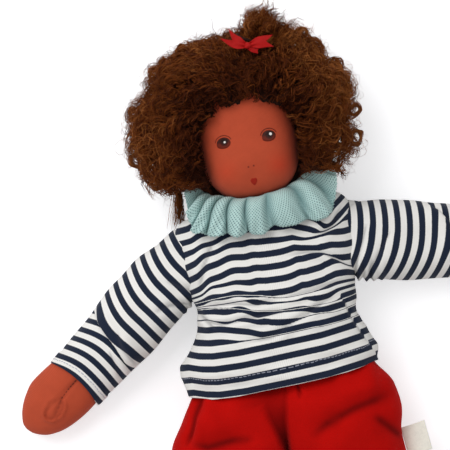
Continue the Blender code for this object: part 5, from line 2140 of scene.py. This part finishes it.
@dataclass
class NetCollar:
    """The gathered collar of net: it rises round the chin, folds over, and falls in deep uneven pleats."""

    neck_y: float = 0.0575
    neck_z: float = 0.032
    inner: float = 0.0142
    strip: float = 0.330
    tooth: float = 0.0017
    cloth: float = 0.0004
    # The turn round the neck in degrees; the crest's and then the rim's X, Y and Z in millimetres
    rows: tuple = (
        (-90, 0.0, 66.0, 13.0, 0.0, 60.0, 3.5),
        (-50, 20.0, 68.0, 17.0, 30.0, 66.0, 8.0),
        (-12, 32.0, 72.0, 37.0, 47.5, 70.0, 42.0),
        (12, 31.0, 70.0, 45.0, 47.0, 55.0, 47.0),
        (35, 24.0, 67.0, 52.0, 37.5, 43.0, 51.5),
        (62, 12.5, 64.8, 57.5, 21.0, 43.8, 56.0),
        (90, 0.0, 63.6, 59.0, -1.5, 42.2, 57.0),
        (118, -12.5, 64.3, 57.5, -21.0, 43.8, 56.5),
        (145, -24.0, 68.0, 52.0, -42.0, 49.0, 52.0),
        (168, -31.0, 70.0, 45.0, -44.5, 61.0, 47.0),
        (192, -32.0, 72.5, 38.0, -42.5, 74.5, 45.0),
        (230, -20.0, 68.0, 17.0, -30.0, 66.0, 8.0),
        (270, 0.0, 66.0, 13.0, 0.0, 60.0, 3.5),
    )
    valleys: tuple = (-90, -60, -36, -10, 16, 42, 76, 104, 127, 145, 162, 180, 204, 236, 270)

    def form(self, u: Array, v: Array) -> tuple[Array, Array]:
        """The collar from the gathered neck out to its edge.

        Args:
            u: the share round the neck, from the back over the doll's left.
            v: the share of the way out.

        Returns:
            The points and the painted shade in its pleats and near the neck.
        """
        degrees = 360 * u - 90
        turn = np.radians(degrees)
        cosine, sine = np.cos(turn), np.sin(turn)
        values = read_rows(self.rows, degrees) / 1000
        crest, rim = values[:, :3], values[:, 3:]
        neck = np.c_[self.inner * cosine, np.full_like(u, self.neck_y), self.neck_z + self.inner * sine]
        above = crest + 0.75 * (crest - (neck + rim) / 2)
        belly = 0.55 * crest + 0.45 * rim
        front, back, side = np.maximum(sine, 0.0), np.maximum(-sine, 0.0), cosine**2
        belly[:, 2] += 0.007 * front
        toothed = np.abs(((u * self.strip / self.tooth) % 1.0) * 2 - 1) - 0.5
        bent = degrees + 9.0 * np.sin(2 * turn + 0.6 + 2.2 * v) * ease(v, 0.1, 1.0)
        phase = np.interp(bent, self.valleys, np.arange(len(self.valleys)))
        valley = np.abs(np.cos(math.pi * phase)) ** 2.4
        fold = 1 - 2 * valley
        t = (v * (1 + 0.022 * toothed * ease(v, 0.94, 1.0) + 0.030 * fold * ease(v, 0.6, 1.0)))[:, None]
        points = (1 - t) ** 3 * neck + 3 * (1 - t) ** 2 * t * above + 3 * (1 - t) * t**2 * belly + t**3 * rim
        size = (0.0028 + 0.0018 * side) * ease(v, 0.0, 0.6) * (1 - 0.4 * back)
        frill = np.sin(turn * 46 + 2 * np.sin(turn * 3)) * 0.0009 * ease(v, 0.55, 1.0)
        frill = frill * (1 + 1.4 * bell(degrees - 152, 24.0))
        lift = fold * size + frill
        points[:, 2] += lift * (0.95 * front + 0.45 * side)
        points[:, 1] += lift * (0.75 * side - 0.30 * front)
        gather = np.sin(2 * math.pi * phase) * size * 0.45
        points[:, 0] += gather * sine
        points[:, 2] -= gather * cosine * 0.4
        points[:, 2] = np.maximum(points[:, 2], 0.0012)
        # painted shade: dark in the pleats' valleys and where the collar rises under the chin
        shade = valley**1.5 * ease(v, 0.15, 0.45) * (1 - 0.45 * ease(v, 0.6, 1.0))
        return points, np.clip(shade + 0.7 * (1 - ease(v, 0.10, 0.34)), 0.0, 1.0)

    def build(self, effects: Effects) -> None:
        """Build the collar."""
        net = CottonNet().build(effects, "mint net")
        collar = lay_grid(
            "collar_net",
            780,
            30,
            lambda u, v: self.form(u, v)[0],
            lambda u, v: np.c_[u * self.strip, v * 0.036],
            lambda u, v: self.form(u, v)[1],
        )
        thicken(collar, self.cloth, 0.0)
        dress(collar, net, ("ruffle",), "neck")


# Trousers and legs


@dataclass
class TrouserHalf:
    """One half of the velour trousers, from the waist past the hip to the ankle."""

    side: Side
    trunk: Trunk
    pivot_x: float
    splay: float
    # Where its outer edge runs, as Y and X, from the waist down to the hip
    outer: tuple
    folds: tuple[Fold, ...] = ()
    waist: float = -0.0470
    hip_y: float = -0.0900
    hip_z: float = 0.0260
    half_width: float = 0.0360
    radius: float = 0.0252
    length: float = 0.1160
    cloth: float = 0.0011
    # The sunk wedge between the legs: Y, its left and right edge as X, and its depth, in millimetres
    wedge: tuple = (
        (-108.0, -14.5, -11.5, 5.0), (-94.0, -15.4, -9.8, 6.0), (-84.0, -17.2, -9.0, 5.5),
        (-75.0, -19.4, -8.2, 4.4),
        (-62.0, -23.2, -5.6, 2.4), (-56.0, -24.2, -4.6, 2.0), (-46.0, -25.0, -3.6, 1.8),
    )

    def rows(self) -> tuple:
        """The half's outline in rows of Y falling.

        Returns:
            Rows of the way down, centre, half-width, low, high, and the inner and outer side's fullness.
        """
        outward = self.side.value
        lean = math.sin(math.radians(self.splay)) * outward
        built = []
        for (y, edge), sunk, inner_full in zip(self.outer, (5.0, 4.2, 2.2, 0.8, 0.0),
                                               (9.0, 9.0, 8.0, 6.5, 4.5)):
            _, _, high = (float(part[0]) for part in self.trunk.spans(np.array([y])))
            middle = float(self.trunk.middle(np.array([y]))[0])
            past = middle - outward * 0.0040
            half = abs(edge - past) / 2
            built.append((-y, (edge + past) / 2, half, 0.0, high - sunk / 1000, inner_full, 2.5))
        built.append((0.094, self.pivot_x - outward * 0.0004, self.half_width, 0.0004, 0.0508, 3.2, 2.35))
        for share, wide, deep in (
            (0.22, 1.0, 0.95), (0.42, 0.97, 0.89), (0.66, 0.895, 0.80), (0.86, 0.82, 0.74),
            (1.0, 0.76, 0.70),
        ):
            place = self.length * share
            middle_z = self.hip_z - 0.0085 * share
            low = max(middle_z - self.radius * deep, 0.0004)
            centre = self.pivot_x + lean * place
            built.append((place - self.hip_y, centre, self.half_width * wide, low,
                          middle_z + self.radius * deep, 2.3, 2.3))
        return tuple(built)

    def form(self, u: Array, v: Array) -> tuple[Array, Array]:
        """The half's cloth.

        Args:
            u: the share round it, from underneath.
            v: the share down it.

        Returns:
            The points and the painted shade in its folds and in the wedge between the legs.
        """
        table = self.rows()
        down = -self.waist + (table[-1][0] + self.waist) * v
        values = read_rows(table, down)
        angle = 2 * math.pi * u - math.pi / 2
        inner = np.cos(angle) * self.side.value < 0
        across, above = rounded(angle, np.where(inner, values[:, 4], values[:, 5]))
        x = values[:, 0] + values[:, 1] * across
        z = (values[:, 3] + values[:, 2]) / 2 + (values[:, 3] - values[:, 2]) / 2 * above
        y = -down
        front = ease(above, 0.0, 0.6)
        gathers = np.sin(x * 2 * math.pi / 0.0135 + 1.2 * np.sin(x * 90)) * 0.0008 * (1 - ease(down, 0.048,
                                                                                               0.085))
        lift, _, shade = folded(self.folds, np.c_[x, y])
        soft = ripple(np.c_[x, y * 0.7, z], 0.046, 41 + self.side.value) * 0.0013
        ankle = -0.0016 * bell(down - (self.length - self.hip_y - 0.009), 0.004)
        grow = (gathers + lift) * front + soft * ease(down, 0.050, 0.070) + ankle
        far = 1 - 0.9 * (inner & (down < 0.100))
        out = np.c_[across * far, np.zeros(len(u)), above]
        out /= np.linalg.norm(out, axis=1)[:, None] + 1e-9
        points = np.c_[x, y, z] + out * grow[:, None]
        table = np.array(self.wedge) / 1000
        left, right, deep = (np.interp(y, table[:, 0], table[:, column]) for column in (1, 2, 3))
        fade = ease(y, -0.112, -0.098)
        sunk = ease(x - left, -0.0008, 0.0036) * ease(right - x, -0.0008, 0.0026) * fade * ease(above, -0.1,
                                                                                                0.4)
        points[:, 2] -= deep * sunk
        points[:, 2] = np.maximum(points[:, 2], 0.0004)
        # painted shade in the sunk wedge, darker lower down, on top of its real sinking
        deepest = 0.30 + 0.62 * ease(-y, 0.058, 0.090)
        return points, np.clip(0.75 * shade * front + deepest * sunk, 0.0, 1.0)

    def build(self, velour: bpy.types.Material, stands_for: tuple[str, ...]) -> None:
        """Build the half.

        Args:
            velour: its material.
            stands_for: the frame's nodes that it replaces.
        """
        word = self.side.word
        half = lay_grid(
            f"trousers_velour_{word}",
            130,
            150,
            lambda u, v: self.form(u, v)[0],
            lambda u, v: np.c_[u * 0.19, v * 0.16],
            lambda u, v: self.form(u, v)[1],
        )
        thicken(half, self.cloth)
        dress(half, velour, stands_for)
        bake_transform(half)


@dataclass
class Leg:
    """A stuffed jersey leg with a foot that stands up."""

    side: Side
    pivot_x: float
    splay: float
    hip_y: float = -0.0900
    skin: float = 0.0014
    # Share of the way, Y from the hip, Z, half-width and half-depth in millimetres, and the turn in degrees
    rows: tuple = (
        (0.000, 20.0, 26.0, 0.0, 0.0, 0.0),
        (0.020, 19.0, 26.0, 14.0, 9.0, 0.0),
        (0.050, 14.0, 26.0, 22.0, 17.0, 0.0),
        (0.100, 2.0, 26.0, 25.2, 23.2, 0.0),
        (0.200, -16.0, 25.2, 24.5, 22.0, 0.0),
        (0.350, -45.0, 23.2, 21.4, 18.4, 0.0),
        (0.520, -83.0, 20.4, 17.9, 15.4, 0.0),
        (0.640, -113.0, 18.4, 15.4, 13.7, 0.0),
        (0.720, -127.0, 14.2, 15.4, 13.2, 8.0),
        (0.770, -135.8, 14.6, 15.6, 12.8, 32.0),
        (0.820, -141.4, 20.0, 15.6, 12.2, 66.0),
        (0.860, -143.0, 28.0, 15.4, 11.8, 90.0),
        (0.905, -143.0, 37.0, 15.8, 11.6, 90.0),
        (0.945, -143.0, 46.5, 16.2, 11.0, 90.0),
        (0.975, -143.2, 54.2, 13.6, 8.8, 90.0),
        (0.992, -143.4, 58.8, 7.6, 5.0, 90.0),
        (1.000, -143.4, 60.0, 0.0, 0.0, 90.0),
    )

    def points(self, u: Array, v: Array, inset: float = 0.0) -> Array:
        """The leg's skin from inside the hip to the toes.

        Args:
            u: the share round it.
            v: the share of the way.
            inset: how far it is set in.

        Returns:
            The points.
        """
        values = read_rows(self.rows, v)
        angle = 2 * math.pi * u - math.pi / 2
        across, above = rounded(angle, 2.2)
        width, depth = np.maximum(values[:, 2:4] / 1000 - inset, 0.0).T
        turn = np.radians(values[:, 4])
        ankle = bell(np.hypot(values[:, 0] + 127, values[:, 1] - 30) / 1000, 0.012) * ease(above, 0.2, 0.9)
        depth = depth - 0.0015 * ankle
        lean = math.sin(math.radians(self.splay)) * self.side.value
        x = self.pivot_x - lean * np.minimum(values[:, 0], 0) / 1000 + width * across
        y = self.hip_y + values[:, 0] / 1000 + depth * above * np.sin(turn)
        z = values[:, 1] / 1000 + depth * above * np.cos(turn)
        points = np.c_[x, y, z]
        points += 0.0003 * ripple(points, 0.022, 51)[:, None] * np.c_[across, np.zeros(len(u)), above]
        points[:, 1] -= inset * (1 - ease(v, 0.0, 0.1))
        points[:, 2] = np.maximum(points[:, 2] - inset * ease(v, 0.9, 1.0), 0.0004 + inset / 2)
        return points

    def build(self, jersey: bpy.types.Material, wool: bpy.types.Material) -> None:
        """Build the leg.

        Args:
            jersey: the skin's material.
            wool: the filling's material.
        """
        word = self.side.word
        filling = lay_grid(
            f"leg_fleece_{word}",
            36,
            90,
            lambda u, v: self.points(u, v, self.skin),
            lambda u, v: np.c_[u * 0.09, v * 0.21],
        )
        dress(filling, wool, (f"leg_wool_{word}",), f"leg_{word}")
        leg = lay_grid(
            f"leg_jersey_{word}", 72, 140, self.points, lambda u, v: np.c_[u * 0.095, v * 0.215]
        )
        dress(leg, jersey, (f"leg_skin_{word}",), f"leg_{word}")


@dataclass
class Label:
    """The blank woven label in the side seam of the trousers."""

    x: float = 0.0600
    y: float = -0.0945
    z: float = 0.0255
    out: float = 0.0152
    along: float = 0.0185
    thickness: float = 0.0004

    def build(self, effects: Effects) -> None:
        """Build the label."""

        def shape(u: Array, v: Array) -> Array:
            curl = 0.0011 * np.sin(math.pi * u * 0.9) + 0.0006 * u * np.sin(3 * v)
            return np.c_[self.x + self.out * u + 0.0015 * v, self.y - self.along * v + 0.0022 * u,
                         self.z + curl]

        label = lay_grid("label_blank", 26, 30, shape, lambda u, v: np.c_[u * self.out, v * self.along])
        thicken(label, self.thickness, 0.0)
        tape = Spun(dyed(255, 251, 238), 0.7, 0.05, 0.0005, True, 0.00008).build(effects, "label tape")
        dress(label, tape, ("side_label",), "leg_right")


# The inner pieces


@dataclass
class InnerPieces:
    """The frame's own stuffing, threads, elastics and cap, which keep their shapes."""

    fleece: tuple[str, ...] = (
        "head_wool", "arm_wool_left", "arm_wool_right", "neck_column",
    )
    threads: tuple[str, ...] = ("neck_tie", "ruffle_cord", "shoulder_thread_left", "shoulder_thread_right")

    def finish(self, effects: Effects, nodes: dict[str, bpy.types.Object]) -> None:
        """Give each inner piece its finish.

        Args:
            effects: the shared groups.
            nodes: the frame's nodes.
        """
        wool = Fleece().build(effects, "carded wool")
        thread = Spun(dyed(214, 202, 178), 0.7, 0.0, 0.0005, True, 0.0001).build(effects, "strong thread",
                                                                                 True)
        elastic = Spun(dyed(226, 222, 212), 0.75, 0.0, 0.0009, False, 0.0002).build(effects, "elastic", True)
        dark = Spun(dyed(46, 20, 9), 0.85, 0.0, 0.0009, False, 0.0002).build(effects, "hair elastic", True)
        cap = Spun(dyed(86, 48, 28), 0.9, 0.0, 0.0012, False, 0.0003).build(effects, "wig cap knit", True)
        for finish, names in (
            (wool, self.fleece), (thread, self.threads), (elastic, ("waist_elastic",)),
            (dark, ("topknot_elastic",)), (cap, ("wig_cap",)),
        ):
            for name in names:
                node = nodes[name]
                node.data.materials.clear()
                node.data.materials.append(finish)
                LOG.info("%s: finished", name)


# Setting


@dataclass
class Studio:
    """The pale floor, the soft light and the camera straight above."""

    aim: tuple[float, float] = (-0.0233, 0.0502)
    up: tuple[float, float] = (0.1908, 0.9816)
    height: float = 1.43
    middle: float = 0.030
    view: float = 0.279

    def build_floor(self) -> None:
        """Build the floor, white where no shadow falls."""
        bm = bmesh.new()
        bmesh.ops.create_grid(bm, x_segments=2, y_segments=2, size=2.5)
        bmesh.ops.translate(bm, vec=(0, 0, -0.0004), verts=bm.verts)
        floor = new_object("floor", bm)
        finish = bpy.data.materials.new("white floor")
        finish.use_nodes = True
        weaver = Weaver(finish.node_tree)
        shader = finish.node_tree.nodes["Principled BSDF"]
        shader.inputs["Base Color"].default_value = (0.80, 0.80, 0.82, 1)
        shader.inputs["Roughness"].default_value = 0.9
        shader.inputs["Specular IOR Level"].default_value = 0.0
        path = weaver.add("ShaderNodeLightPath")
        seen = weaver.sums("MAXIMUM", path.outputs["Is Camera Ray"], path.outputs["Is Glossy Ray"])
        seen = weaver.sums("MAXIMUM", seen, path.outputs["Is Transmission Ray"])
        shader.inputs["Emission Color"].default_value = (1.0, 1.0, 1.0, 1)
        weaver.tree.links.new(weaver.sums("MULTIPLY", seen, 0.50), shader.inputs["Emission Strength"])
        floor.data.materials.append(finish)

    def build_light(self) -> None:
        """Build the even light of the room and one soft lamp from the upper left."""
        world = bpy.data.worlds.new("room light")
        world.use_nodes = True
        background = world.node_tree.nodes["Background"]
        background.inputs["Color"].default_value = (1.0, 1.0, 1.0, 1)
        background.inputs["Strength"].default_value = 0.62
        bpy.context.scene.world = world
        lamp = bpy.data.lights.new("soft lamp", "AREA")
        lamp.shape = "SQUARE"
        lamp.size = 0.9
        lamp.energy = 9.5
        holder = bpy.data.objects.new("soft_lamp", lamp)
        holder.location = (-0.55, 0.75, 1.05)
        holder.rotation_euler = (Vector((0, 0.03, 0)) - holder.location).to_track_quat("-Z", "Y").to_euler()
        bpy.context.scene.collection.objects.link(holder)

    def build_camera(self) -> None:
        """Build the camera above the doll, turned as the picture is."""
        lens = bpy.data.cameras.new("camera")
        lens.sensor_fit = "HORIZONTAL"
        lens.angle = 2 * math.atan(self.view / 2 / (self.height - self.middle))
        lens.clip_start = 0.05
        camera = bpy.data.objects.new("camera", lens)
        up = Vector((*self.up, 0)).normalized()
        right = up.cross(Vector((0, 0, 1)))
        turned = Matrix((right, up, Vector((0, 0, 1)))).transposed().to_4x4()
        camera.matrix_world = Matrix.Translation((*self.aim, self.height)) @ turned
        bpy.context.scene.collection.objects.link(camera)
        bpy.context.scene.camera = camera
        bpy.context.scene.view_settings.view_transform = "Standard"


LEFT_SLEEVE_FOLDS = (
    Fold(((0.0690, -0.0225), (0.0675, -0.0170), (0.0633, -0.0044), (0.0607, 0.0092), (0.0578, 0.0235)),
         0.0012, 0.0016, 0.0010, 0.0036, 0.0030),
    Fold(((0.0640, -0.0210), (0.0600, -0.0060), (0.0560, 0.0020)), 0.0006, 0.0016, 0.0005, 0.0006, 0.0006),
    Fold(((0.0780, -0.0200), (0.0735, -0.0120), (0.0690, -0.0020)), 0.0008, 0.0015, 0.0006, 0.0006, 0.0006),
    Fold(((0.0120, -0.0200), (0.0230, -0.0110), (0.0330, -0.0060)), 0.0008, 0.0018, 0.0007, 0.0006),
    Fold(((0.0050, -0.0190), (0.0100, -0.0080), (0.0130, 0.0020)), 0.0008, 0.0018, 0.0007, 0.0006),
)


RIGHT_SLEEVE_FOLDS = (
    Fold(((0.0630, -0.0130), (0.0578, 0.0105), (0.0440, 0.0220)), 0.0012, 0.0018, 0.0010, 0.0020, 0.0016),
    Fold(((0.0230, 0.0030), (0.0180, -0.0100), (0.0100, -0.0200)), 0.0010, 0.0018, 0.0008, 0.0010, 0.0010),
    Fold(((0.0080, 0.0060), (0.0060, -0.0060), (0.0020, -0.0190)), 0.0010, 0.0018, 0.0008, 0.0010, 0.0008),
)


LEFT_TROUSER_FOLDS = (
    Fold(((-0.0570, -0.0500), (-0.0640, -0.0620), (-0.0735, -0.0800)), 0.0024, 0.0022, 0.0014),
    Fold(((-0.0690, -0.0760), (-0.0600, -0.0800), (-0.0450, -0.0785), (-0.0300, -0.0800)), 0.0016, 0.0046,
         0.0012),
)


RIGHT_TROUSER_FOLDS = (
    Fold(((0.0015, -0.0490), (0.0022, -0.0630)), 0.0020, 0.0014, 0.0008),
    Fold(((0.0020, -0.0860), (0.0150, -0.0790), (0.0330, -0.0735), (0.0600, -0.0690)), 0.0022, 0.0052,
         0.0014),
    Fold(((0.0590, -0.1010), (0.0500, -0.0900), (0.0430, -0.0820)), 0.0009, 0.0040, 0.0012),
)


def main() -> None:
    """Dress the doll from the inside out, then set it under the camera."""
    logging.basicConfig(level=logging.INFO, format="%(message)s")
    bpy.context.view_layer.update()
    effects = Effects()
    InnerPieces().finish(effects, frame["nodes"])
    skin = SkinJersey().build(effects, "limb jersey")
    shirt = Shirt()
    wool = Fleece().build(effects, "body wool")
    Torso(shirt.trunk).build(skin, wool)
    shirt.build(effects)
    sleeves = (
        Sleeve(Side.LEFT, 53.5, 0.0026, 0.00812, LEFT_SLEEVE_FOLDS, (0.0050, -0.0010, -0.0063, -0.0026),
               True,
               ((-13, 0.0, 0.0), (4, 1.4, 0.0), (18, 3.0, 0.0), (34, 1.8, 0.0), (52, 0.2, 0.0),
                (100, 0.0, 0.0))),
        Sleeve(Side.RIGHT, 75.0, 0.0037, 0.0077, RIGHT_SLEEVE_FOLDS, (0.0022, 0.0040, 0.0022, 0.0040), False,
               ((-13, 0.0, 6.5), (0, 0.2, 8.5), (12, 0.6, 8.0), (25, 0.6, 6.6), (40, 0.4, 4.6),
                (60, 0.2, 2.2), (100, 0.0, 0.5))),
    )
    for sleeve in sleeves:
        sleeve.build(effects)
        Arm(sleeve).build(effects, skin)
    Head().build(effects)
    Wig().build(effects)
    Ribbon().build(effects)
    NetCollar().build(effects)
    velour = Velour().build(effects, "red velour")
    left = ((-0.047, -0.0612), (-0.0535, -0.0652), (-0.060, -0.0698), (-0.066, -0.0737), (-0.080, -0.0822))
    right = ((-0.047, 0.0500), (-0.0535, 0.0536), (-0.060, 0.0585), (-0.066, 0.0616), (-0.080, 0.0632))
    TrouserHalf(Side.LEFT, shirt.trunk, -0.04761, 7.0, left, LEFT_TROUSER_FOLDS).build(
        velour, ("trouser_leg_left", "trousers_hips")
    )
    TrouserHalf(Side.RIGHT, shirt.trunk, 0.02439, 1.5, right, RIGHT_TROUSER_FOLDS).build(
        velour, ("trouser_leg_right", "trousers_hips")
    )
    Leg(Side.LEFT, -0.04761, 7.0).build(skin, wool)
    Leg(Side.RIGHT, 0.02439, 1.5).build(skin, wool)
    Label().build(effects)
    studio = Studio()
    studio.build_floor()
    studio.build_light()
    studio.build_camera()


if __name__ == "__main__":
    main()
